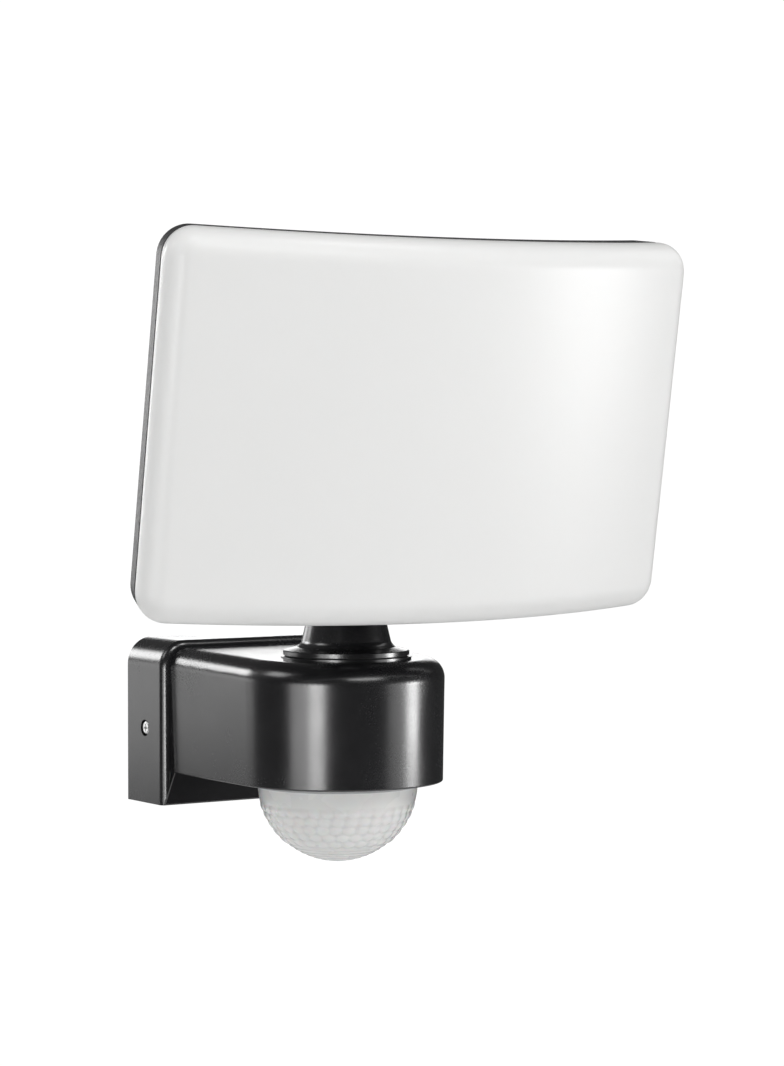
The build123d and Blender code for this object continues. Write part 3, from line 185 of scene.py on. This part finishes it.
def textured_paint(slot):
    """Wrinkle powder coat: small packed pimples, with painted shade in the hollows and painted light on
    their tops.
    """
    m = Nodes(slot)
    colour = slot_colour(slot)
    grain = m.add("ShaderNodeTexVoronoi", {"Vector": m.position()}, in_Scale=1500.0).outputs["Distance"]
    broad = m.noise(scale=700.0)
    painted_hollow_shade = m.ramp(grain, 0.0, 1.0, start=0.1, end=0.6)
    # painted shade in the hollows between the pimples and painted light on their tops
    tone = m.mix(painted_hollow_shade, rgba(colour, gain=1.35), rgba(colour, gain=0.75))
    lumps = m.bump(broad, strength=0.30, distance=0.00012)
    pimples = m.ramp(grain, 1.0, 0.0, start=0.0, end=0.7)
    m.set(Base_Color=m.worn(tone, rgba(colour, gain=3.0), radius=0.0005, amount=0.12),
          Specular_IOR_Level=0.55, Roughness=m.ramp(broad, 0.38, 0.54),
          Normal=m.bump(pimples, strength=0.42, distance=0.00008, base=lumps))
    return m.material


def opal_plastic(slot):
    """Opal polycarbonate: soft light inside, a satin skin, faint flow clouds."""
    m = Nodes(slot)
    colour = slot_colour(slot)
    cloud = m.noise(scale=14.0)
    fine = m.noise(scale=1200.0, detail=2.0)
    m.set(Base_Color=m.mix(cloud, rgba(colour, gain=0.985), rgba(colour, gain=1.005)),
          Subsurface_Weight=0.12, Subsurface_Scale=0.004, Specular_IOR_Level=0.12,
          Coat_Weight=0.3, Coat_Roughness=0.32, Roughness=m.ramp(fine, 0.30, 0.36, start=0.0, end=1.0),
          Normal=m.bump(fine, strength=0.05, distance=0.00002))
    m.shader.inputs["Subsurface Radius"].default_value = (1.0, 0.95, 0.9)
    return m.material


def lens_plastic(slot):
    """Milky polyethylene of the sensor dome, with painted shade darkening the dips between its facets."""
    m = Nodes(slot)
    colour = slot_colour(slot)
    cloud = m.noise(scale=60.0)
    tone = m.mix(m.ramp(cloud, 0.0, 1.0), rgba(colour, gain=0.97), rgba(colour, gain=1.03))
    painted_groove_shade = m.add("ShaderNodeAttribute", attribute_name="painted_groove_shade").outputs["Fac"]
    # painted shade: the dips between the facets darkened towards 0.45 of the colour
    m.set(Base_Color=m.mix(m.math("MULTIPLY", painted_groove_shade, 0.24), tone, rgba(colour, gain=0.45)),
          Subsurface_Weight=0.12, Subsurface_Scale=0.0015, Specular_IOR_Level=0.5,
          Roughness=m.ramp(cloud, 0.24, 0.30), Coat_Weight=1.0, Coat_Roughness=0.14,
          Normal=m.bump(m.noise(scale=900.0, detail=2.0), strength=0.06, distance=0.00003))
    return m.material


def moulded_plastic(slot, rough, specular=0.4, shade=1.0):
    """Grained moulded plastic with paler rubbed edges; shade darkens the slot's colour."""
    m = Nodes(slot)
    colour = slot_colour(slot)
    grain = m.noise(scale=1100.0)
    cloud = m.noise(scale=55.0)
    tone = m.mix(m.ramp(cloud, 0.0, 1.0), rgba(colour, gain=0.9 * shade), rgba(colour, gain=1.12 * shade))
    m.set(Base_Color=m.worn(tone, rgba(colour, gain=1.7), radius=0.0003, amount=0.15),
          Specular_IOR_Level=specular, Roughness=m.ramp(grain, rough - 0.06, rough + 0.06),
          Normal=m.bump(grain, strength=0.25, distance=0.00004))
    return m.material


def soft_rubber(slot):
    """Black rubber with a little dust on it."""
    m = Nodes(slot)
    colour = slot_colour(slot)
    dust = m.noise(scale=260.0, detail=4.0)
    dusty = m.ramp(dust, 0.0, 1.0, start=0.45, end=0.75)
    m.set(Base_Color=m.mix(dusty, rgba(colour), rgba(colour, gain=2.2)),
          Roughness=m.ramp(dust, 0.62, 0.82), Specular_IOR_Level=0.3,
          Normal=m.bump(m.noise(scale=1600.0, detail=2.0), strength=0.2, distance=0.00003))
    return m.material


def brushed_metal(slot, rough, stretch=(1.0, 1.0, 1.0), tint=0.12):
    """Bare or plated metal: fine lines along the axis with the small stretch, small stains darker by
    tint, brighter edges."""
    m = Nodes(slot)
    colour = slot_colour(slot)
    lines = m.noise(scale=900.0, vector=m.stretched(stretch))
    stain = m.noise(scale=120.0, detail=4.0)
    stained = m.ramp(stain, 0.0, 1.0, start=0.35, end=0.75)
    tone = m.mix(stained, rgba(colour), rgba(colour, gain=1.0 - tint))
    m.set(Base_Color=m.worn(tone, rgba(colour, gain=1.3), radius=0.0002, amount=0.3),
          Metallic=1.0, Roughness=m.ramp(lines, rough - 0.06, rough + 0.1),
          Normal=m.bump(lines, strength=0.12, distance=0.00002))
    return m.material


def solder_mask(slot, track_gain):
    """A circuit board: solder mask with copper tracks under it."""
    m = Nodes(slot)
    colour = slot_colour(slot)
    brick = m.add("ShaderNodeTexBrick", {"Vector": m.position()}, in_Scale=260.0, in_Mortar_Size=0.012)
    tracks = brick.outputs["Fac"]
    m.set(Base_Color=m.mix(tracks, rgba(colour), rgba(colour, gain=track_gain)),
          Roughness=m.ramp(m.noise(scale=200.0), 0.26, 0.4), Coat_Weight=0.3,
          Normal=m.bump(tracks, strength=0.2, distance=0.00003))
    return m.material


def chip_phosphor(slot):
    """The yellow resin of an LED chip."""
    m = Nodes(slot)
    colour = slot_colour(slot)
    dots = m.noise(scale=900.0, detail=2.0)
    m.set(Base_Color=m.mix(m.ramp(dots, 0.0, 1.0), rgba(colour, gain=0.9), rgba(colour, gain=1.08)),
          Roughness=m.ramp(dots, 0.22, 0.36), Subsurface_Weight=0.1, Subsurface_Scale=0.001)
    return m.material


MAKERS = {
    "black_satin_paint": (satin_paint, {}),
    "black_texture_paint": (textured_paint, {}),
    "opal_diffuser": (opal_plastic, {}),
    "lens_white": (lens_plastic, {}),
    "grey_plastic": (moulded_plastic, {"rough": 0.45}),
    "black_plastic": (moulded_plastic, {"rough": 0.62, "specular": 0.1, "shade": 0.5}),
    "black_rubber": (soft_rubber, {}),
    "zinc_steel": (brushed_metal, {"rough": 0.36, "stretch": (1.0, 1.0, 0.06)}),
    "bright_screw": (brushed_metal, {"rough": 0.22, "tint": 0.06}),
    "white_plastic": (moulded_plastic, {"rough": 0.42}),
    "brass": (brushed_metal, {"rough": 0.3, "stretch": (1.0, 1.0, 0.1)}),
    "board_green": (solder_mask, {"track_gain": 1.9}),
    "board_white": (solder_mask, {"track_gain": 0.9}),
    "sheet_aluminium": (brushed_metal, {"rough": 0.34, "stretch": (0.05, 0.05, 1.0)}),
    "chip_yellow": (chip_phosphor, {}),
    "component_black": (moulded_plastic, {"rough": 0.35, "specular": 0.5}),
    "component_blue": (moulded_plastic, {"rough": 0.35, "specular": 0.5}),
    "core_steel": (brushed_metal, {"rough": 0.4, "stretch": (1.0, 12.0, 1.0)}),
    "sensor_can": (brushed_metal, {"rough": 0.2}),
    "lead_black": (soft_rubber, {}),
}
MATERIALS = {slot: maker(slot, **options) for slot, (maker, options) in MAKERS.items()}

for part in frame["record"]["subparts"]:
    node = NODES[part["node"]]
    node.data.materials.clear()
    node.data.materials.append(MATERIALS[part["material_slot"]])


# ---------------------------------------------------------------- meshes that replace a CAD node
WELD = 1e-6                 # points of a mesh closer than this are one point


def mesh_object(name, verts, faces, weld=False):
    """A closed mesh in the scene, with its normals outward."""
    mesh = bpy.data.meshes.new(name)
    mesh.from_pydata(verts, [], faces)
    bm = bmesh.new()
    bm.from_mesh(mesh)
    if weld:
        bmesh.ops.remove_doubles(bm, verts=bm.verts, dist=WELD)
    bmesh.ops.recalc_face_normals(bm, faces=bm.faces)
    bm.to_mesh(mesh)
    bm.free()
    obj = bpy.data.objects.new(name, mesh)
    bpy.context.scene.collection.objects.link(obj)
    return obj


def smooth(obj, angle):
    """Smooth shading, with edges sharper than the angle, in degrees, left sharp."""
    for polygon in obj.data.polygons:
        polygon.use_smooth = True
    obj.data.set_sharp_from_angle(angle=radians(angle))


def dress(obj, slot):
    obj.data.materials.append(MATERIALS[slot])


# ---------------------------------------------------------------- the opal front, a clean curved shell
HEAD_ARC = 239.0            # width along the curve
HEAD_HEIGHT = 143.5
HEAD_RADIUS = 350.0
HEAD_CORNER = 11.5
HEAD_PLACE = Matrix.Translation((0, -0.171, 0.114)) @ Matrix.Rotation(radians(9.5), 4, "X")
CORNERS = ((1, -1), (1, 1), (-1, 1), (-1, -1))      # from the lower right, as outline goes round

SHELL_DEPTH = 11.2
SHELL_ROUND = 9.5
SHELL_WALL = 2.2
SIDE_START = 0.3            # the straight side starts this far behind the rounding
BACK_ROUND = ((0.0, 0.5), (0.12, 0.15), (0.45, 0.0))    # inset, and distance short of the back edge
TONGUE_OUTER = 2.6          # the tongue that sits in the seal, by the insets of its two sides
TONGUE_INNER = 4.1
TONGUE_LENGTH = 3.4
TONGUE_ROOT = 0.6           # its inner side starts this far in front of the back edge
BEVEL = 0.2
OUTER_BEVEL = 0.3
FOOT = 0.1                  # the small step where the tongue meets the back edge
FOOT_INSET = 0.05
FACE_RING = 10.6            # a ring on the flat front, and on its inner face, just inside the rounding
INNER_RING = 10.8


def bend(across, up, depth):
    """A point of the head, by its way along the curve, its height and its depth, in millimetres."""
    angle = across / HEAD_RADIUS
    reach = HEAD_RADIUS - depth
    return HEAD_PLACE @ Vector((reach * sin(angle) * MM, (HEAD_RADIUS - reach * cos(angle)) * MM, up * MM))


def outline(inset, columns, rows, steps):
    """A rounded rectangle inset from the head's outline, with the same count of points each time:
    up the right side, along the top, down the left side and back, each side followed by its corner."""
    w, h = HEAD_ARC / 2 - inset, HEAD_HEIGHT / 2 - inset
    r = max(HEAD_CORNER - inset, 0.0)
    points = []
    for k, count in enumerate((rows, columns, rows, columns)):
        (ax, ay), (bx, by) = CORNERS[k], CORNERS[(k + 1) % 4]
        dx, dy = (bx - ax) / 2, (by - ay) / 2
        start = (ax * w + dx * r, ay * h + dy * r)
        end = (bx * w - dx * r, by * h - dy * r)
        points += [(start[0] + (end[0] - start[0]) * i / count, start[1] + (end[1] - start[1]) * i / count)
                   for i in range(count + 1)]
        for i in range(1, steps):
            turn = pi / 2 * (k + i / steps)
            points.append((bx * (w - r) + r * cos(turn), by * (h - r) + r * sin(turn)))
    return points


def arc_profile(inset, depth, radius, steps):
    """Section of a rounded front edge: (inset, depth) pairs from the flat front out to the side."""
    return [(inset + radius * (1 - sin(pi / 2 * i / steps)), depth + radius * (1 - cos(pi / 2 * i / steps)))
            for i in range(steps + 1)]


def face_grid(verts, ring, inset, depth, columns, rows, steps):
    """Quads that fill the ring at this inset and depth. Its edge points are the ring's own, and the
    points between them are added to verts."""
    corner = steps - 1
    top_start = rows + 1 + corner
    left_start = top_start + columns + 1 + corner
    bottom_start = left_start + rows + 1 + corner
    w, h = HEAD_ARC / 2 - inset, HEAD_HEIGHT / 2 - inset
    grid = {}
    for i in range(columns + 1):
        for j in range(rows + 1):
            if j == 0:
                grid[i, j] = ring[bottom_start + i]
            elif j == rows:
                grid[i, j] = ring[top_start + columns - i]
            elif i == 0:
                grid[i, j] = ring[left_start + rows - j]
            elif i == columns:
                grid[i, j] = ring[j]
            else:
                grid[i, j] = len(verts)
                verts.append(bend(-w + 2 * w * i / columns, -h + 2 * h * j / rows, depth))
    return [(grid[i, j], grid[i + 1, j], grid[i + 1, j + 1], grid[i, j + 1])
            for i in range(columns) for j in range(rows)]


def curved_shell(name, profile, columns=96, rows=56, steps=12):
    """A closed shell: front face, the profile's rings, and the inner face, bent to the head's curve."""
    verts, faces, rings = [], [], []
    for inset, depth in profile:
        points = outline(inset, columns, rows, steps)
        rings.append([len(verts) + i for i in range(len(points))])
        verts += [bend(u, v, depth) for u, v in points]
    for a, b in zip(rings, rings[1:]):
        faces += [(a[i - 1], b[i - 1], b[i], a[i]) for i in range(len(a))]
    faces += face_grid(verts, rings[0], *profile[0], columns, rows, steps)
    faces += [face[::-1] for face in face_grid(verts, rings[-1], *profile[-1], columns, rows, steps)]
    return mesh_object(name, [tuple(v) for v in verts], faces, weld=True)


flat = [(HEAD_CORNER, 0.0), (FACE_RING, 0.0)]
side = [(0.0, SHELL_ROUND + SIDE_START)] + [(inset, SHELL_DEPTH - short) for inset, short in BACK_ROUND]
tongue = [(TONGUE_OUTER - FOOT_INSET, SHELL_DEPTH), (TONGUE_OUTER, SHELL_DEPTH + FOOT),
          (TONGUE_OUTER, SHELL_DEPTH + TONGUE_LENGTH - BEVEL),
          (TONGUE_OUTER + OUTER_BEVEL, SHELL_DEPTH + TONGUE_LENGTH),
          (TONGUE_INNER - BEVEL, SHELL_DEPTH + TONGUE_LENGTH),
          (TONGUE_INNER, SHELL_DEPTH + TONGUE_LENGTH - BEVEL), (TONGUE_INNER, SHELL_DEPTH - TONGUE_ROOT)]
inner = [(SHELL_WALL + BEVEL, SHELL_DEPTH - TONGUE_ROOT - BEVEL)]
inner += arc_profile(SHELL_WALL, SHELL_WALL, SHELL_ROUND - SHELL_WALL, 12)[::-1]
inner += [(INNER_RING, SHELL_WALL), (HEAD_CORNER, SHELL_WALL)]
shell = curved_shell("opal_front", flat + arc_profile(0, 0, SHELL_ROUND, 18) + side + tongue + inner)
smooth(shell, 35.0)
dress(shell, "opal_diffuser")
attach(shell, "lamp_head")
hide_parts("diffuser")


# ---------------------------------------------------------------- the faceted sensor dome
DOME_RADIUS = 31.25
DOME_WALL = 1.3
DOME_Z = -20.0
DOME_FLANGE = 1.45          # thickness of the flange round its rim
DOME_COLLAR = 2.6           # the sphere starts this far below the top of the flange
DOME_TURN = 256             # points round the axis, rings from the rim to the pole, and the same inside
DOME_RISE = 150
INNER_RISE = 24

# The facets. Angles are in radians on the sphere, heights in millimetres.
ROWS = 5
FIRST_ROW = 0.315           # how far below the rim the middle of the first row is
ROW_PITCH = 0.125
CELL_WIDTH = 0.168
CELL_HEIGHT = 0.14
CELL_CROWN = 0.30           # how far the middle of a cell stands out
CELL_FALL = 0.42            # and how much lower the edge of its ellipse is
GROOVE_SHADE_START = 0.55         # the groove round a cell, in squares of the way from its middle to its edge; painted shade darkens it from here out to GROOVE_END
GROOVE_END = 1.3
ABOVE_ROWS = 0.6            # the facets start and end this far from the outer rows, in rows
BELOW_ROWS = 0.4
FADE_IN = 0.5
RINGS_PER_ROW = 1.5         # plain rings between the rows of cells and the pole
RING_TOP = -0.02
RING_DEPTH = 0.20
# how dark the painted shade in the dips between the rings gets
RING_PAINTED_SHADE = 0.6


def facet_height(angle, fall):
    """How far the dome's skin stands out, in mm, and how much painted shade it gets in the dips between the
    cells, from 0 to 1: angle round the axis, fall below the rim, both in radians. Staggered rows of
    round-topped cells, then plain rings down to the pole, with painted shade in the dips between the rings."""
    band = (fall - FIRST_ROW) / ROW_PITCH
    if band < -ABOVE_ROWS:
        return 0.0, 0.0
    if band >= ROWS - BELOW_ROWS:
        ring = (band - (ROWS - BELOW_ROWS)) * RINGS_PER_ROW
        wave = abs(ring % 1.0 - 0.5) * 2
        # the second value is the painted shade in the dips between the rings
        return RING_TOP - RING_DEPTH * wave, RING_PAINTED_SHADE * wave
    best = GROOVE_END
    nearest_row = int(band + 0.5)
    for row in range(max(0, nearest_row - 1), min(ROWS, nearest_row + 2)):
        centre = FIRST_ROW + row * ROW_PITCH
        step = 2 * pi / round(2 * pi * cos(centre) / CELL_WIDTH)
        shift = 0.5 * (row % 2) * step
        nearest = round((angle - shift) / step) * step + shift
        across = (angle - nearest) * cos(centre) / (CELL_WIDTH / 2)
        along = (fall - centre) / (CELL_HEIGHT / 2)
        best = min(best, across * across + along * along)
    fade = min(1.0, (band + ABOVE_ROWS) / FADE_IN)
    # painted shade, from none partway out to full at the edge of a cell
    painted_groove_shade = max(0.0, best - GROOVE_SHADE_START) / (GROOVE_END - GROOVE_SHADE_START)
    return fade * (CELL_CROWN - CELL_FALL * best), fade * painted_groove_shade


def lens_dome():
    """The dome with its flange, its faceted skin and its smooth inside. The point attribute
    painted_groove_shade is the painted shade that lens_plastic darkens the dips between the facets with."""
    box_low, box_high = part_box("pir_lens")
    middle = (box_low + box_high) / 2
    top = box_high.z / MM
    flange = (box_high.x - box_low.x) / 2 / MM
    inner_radius = DOME_RADIUS - DOME_WALL
    turns = [2 * pi * i / DOME_TURN for i in range(DOME_TURN)]
    verts, faces, painted_groove_shades = [], [], []

    def add_ring(places):
        """A ring of points, each from its radius, its height and the painted shade of its dip, from 0 to 1.
        """
        start = len(verts)
        for a, (radius, z, painted_groove_shade) in zip(turns, places):
            verts.append((middle.x + radius * cos(a) * MM, middle.y + radius * sin(a) * MM, z * MM))
            painted_groove_shades.append(painted_groove_shade)
        return range(start, start + DOME_TURN)

    def plain_ring(radius, z):
        return add_ring([(radius, z, 0.0)] * DOME_TURN)

    def pole(z):
        verts.append((middle.x, middle.y, z * MM))
        painted_groove_shades.append(0.0)
        return len(verts) - 1

    outer = [plain_ring(inner_radius, top), plain_ring(flange, top), plain_ring(flange, top - DOME_FLANGE),
             plain_ring(DOME_RADIUS, top - DOME_FLANGE), plain_ring(DOME_RADIUS, top - DOME_COLLAR)]
    for j in range(1, DOME_RISE):
        fall = pi / 2 * j / DOME_RISE
        places = []
        for a in turns:
            height, painted_groove_shade = facet_height(a, fall)
            r = DOME_RADIUS + height
            places.append((r * cos(fall), DOME_Z - r * sin(fall), painted_groove_shade))
        outer.append(add_ring(places))
    outer_pole = pole(DOME_Z - DOME_RADIUS - facet_height(0, pi / 2)[0])
    under = []
    for j in range(INNER_RISE):
        fall = pi / 2 * j / INNER_RISE
        under.append(plain_ring(inner_radius * cos(fall), DOME_Z - inner_radius * sin(fall)))
    inner_pole = pole(DOME_Z - inner_radius)

    strips = list(zip(outer, outer[1:])) + list(zip(under[1:], under)) + [(under[0], outer[0])]
    for a, b in strips:
        faces += [(a[i - 1], a[i], b[i], b[i - 1]) for i in range(DOME_TURN)]
    faces += [(outer[-1][i - 1], outer[-1][i], outer_pole) for i in range(DOME_TURN)]
    faces += [(under[-1][i], under[-1][i - 1], inner_pole) for i in range(DOME_TURN)]
    obj = mesh_object("faceted_dome", verts, faces)
    # the painted shade of the dips between the facets, which lens_plastic darkens the colour with
    attribute = obj.data.attributes.new("painted_groove_shade", "FLOAT", "POINT")
    attribute.data.foreach_set("value", painted_groove_shades)
    return obj


dome = lens_dome()
smooth(dome, 40.0)
dress(dome, "lens_white")
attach(dome, "wall_body")
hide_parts("pir_lens")


# ---------------------------------------------------------------- studio
FLOOR_DROP = 0.46           # below the object's lowest point
FLOOR_RADIUS = 1.65
LIGHT_AIM = Vector((0, -0.09, 0.04))
LIGHT_DISTANCE = 1.6
SOFTBOXES = (
    # name, azimuth, elevation, width, height, level
    ("left_strip", -54, -4, 0.42, 0.30, 13.2),          # the upright highlights on the arm's round front
    ("left_fade", -72, -5, 0.62, 0.36, 3.4),
    ("right_strip", 55, -3, 0.42, 0.30, 19.0),
    ("right_fade", 36, -4, 0.72, 0.32, 2.0),
    ("front_fill", 0, 34, 0.90, 0.40, 4.6),             # the opal front and its upper edge
    ("top_left_box", -20, 58, 0.46, 0.46, 10.5),
    ("top_right_box", 45, 62, 0.40, 0.40, 7.0),
    ("left_side", -112, 38, 0.60, 0.50, 3.5),
    ("right_side", 85, 34, 0.60, 0.70, 1.0),
    ("back_left", -150, -2, 1.00, 0.34, 1.5),           # the left flanks of the box and the arm
    ("back_left_patch", -157, 17, 0.50, 0.42, 8.0),
    ("back_middle", -176, 6, 0.50, 0.40, 3.0),          # the rim of the lamp head
    ("back_right", 148, 8, 0.62, 0.30, 3.2),            # the arm's top
)
BACKDROP_DIRECTION = (-0.25, 0.97, 0.0)
BACKDROP_FADE = (0.25, 0.75)
BACKDROP_LEVEL = 0.10
DIM_LEVEL = 0.05
SEEN_LEVEL = 1.05           # the world as the camera sees it


def pale_floor():
    m = Nodes("pale_floor")
    colour = (0.82, 0.82, 0.82)
    cloud = m.noise(scale=1.5, detail=2.0)
    m.set(Base_Color=m.mix(cloud, rgba(colour, gain=0.99), rgba(colour, gain=1.01)),
          Roughness=0.9, Specular_IOR_Level=0.1)
    bpy.ops.mesh.primitive_circle_add(vertices=256, radius=FLOOR_RADIUS, fill_type="NGON",
                                      location=(0, -0.1, cad_box[0][2] - FLOOR_DROP))
    floor = bpy.context.object
    floor.name = "floor"
    floor.data.materials.append(m.material)


def softbox(name, azimuth, elevation, width, height, level):
    """An area light that faces the object. Azimuth is measured from the front, positive to the right,
    and level is its brightness where 1 looks white."""
    a, e = radians(azimuth), radians(elevation)
    place = LIGHT_AIM + Vector((sin(a) * cos(e), -cos(a) * cos(e), sin(e))) * LIGHT_DISTANCE
    light = bpy.data.lights.new(name, "AREA")
    light.shape = "RECTANGLE"
    light.size = width
    light.size_y = height
    light.energy = pi * width * height * level
    obj = bpy.data.objects.new(name, light)
    obj.location = place
    obj.rotation_euler = (LIGHT_AIM - place).to_track_quat("-Z", "Y").to_euler()
    obj.visible_camera = False
    bpy.context.scene.collection.objects.link(obj)


def studio_world():
    """White where the camera sees it. What the object reflects is dim, and a little lighter behind the
    wall, so that the black paint gets its dark zones."""
    world = bpy.data.worlds.new("studio")
    world.use_nodes = True
    tree = world.node_tree
    tree.nodes.clear()
    direction = tree.nodes.new("ShaderNodeTexCoord").outputs["Generated"]
    behind = tree.nodes.new("ShaderNodeVectorMath")
    behind.operation = "DOT_PRODUCT"
    behind.inputs[1].default_value = BACKDROP_DIRECTION
    tree.links.new(direction, behind.inputs[0])
    spread = tree.nodes.new("ShaderNodeMapRange")
    spread.interpolation_type = "SMOOTHSTEP"
    spread.inputs["From Min"].default_value = BACKDROP_FADE[0]
    spread.inputs["From Max"].default_value = BACKDROP_FADE[1]
    spread.inputs["To Min"].default_value = DIM_LEVEL
    spread.inputs["To Max"].default_value = BACKDROP_LEVEL
    tree.links.new(behind.outputs["Value"], spread.inputs["Value"])
    lit = tree.nodes.new("ShaderNodeBackground")
    lit.inputs["Color"].default_value = (1, 1, 1, 1)
    tree.links.new(spread.outputs[0], lit.inputs["Strength"])
    seen = tree.nodes.new("ShaderNodeBackground")
    seen.inputs["Color"].default_value = (1, 1, 1, 1)
    seen.inputs["Strength"].default_value = SEEN_LEVEL
    path = tree.nodes.new("ShaderNodeLightPath")
    mix = tree.nodes.new("ShaderNodeMixShader")
    tree.links.new(path.outputs["Is Camera Ray"], mix.inputs[0])
    tree.links.new(lit.outputs[0], mix.inputs[1])
    tree.links.new(seen.outputs[0], mix.inputs[2])
    out = tree.nodes.new("ShaderNodeOutputWorld")
    tree.links.new(mix.outputs[0], out.inputs["Surface"])
    bpy.context.scene.world = world


pale_floor()
for box in SOFTBOXES:
    softbox(*box)
studio_world()
bpy.context.scene.view_settings.view_transform = "Standard"


# ---------------------------------------------------------------- camera, from the photograph's viewpoint
CAMERA_PLACE = (-0.6819, -1.1643, 0.1204)
CAMERA_DIRECTION = (0.5487, 0.8353, -0.0344)
CAMERA_LENS = 150.59        # mm, on a sensor 36 mm wide

camera_data = bpy.data.cameras.new("camera")
camera_data.sensor_fit = "HORIZONTAL"
camera_data.sensor_width = 36.0
camera_data.lens = CAMERA_LENS
camera_data.clip_start = 0.01
camera_data.clip_end = 100.0
camera = bpy.data.objects.new("camera", camera_data)
camera.location = CAMERA_PLACE
camera.rotation_euler = Vector(CAMERA_DIRECTION).to_track_quat("-Z", "Y").to_euler()
bpy.context.scene.collection.objects.link(camera)
bpy.context.scene.camera = camera
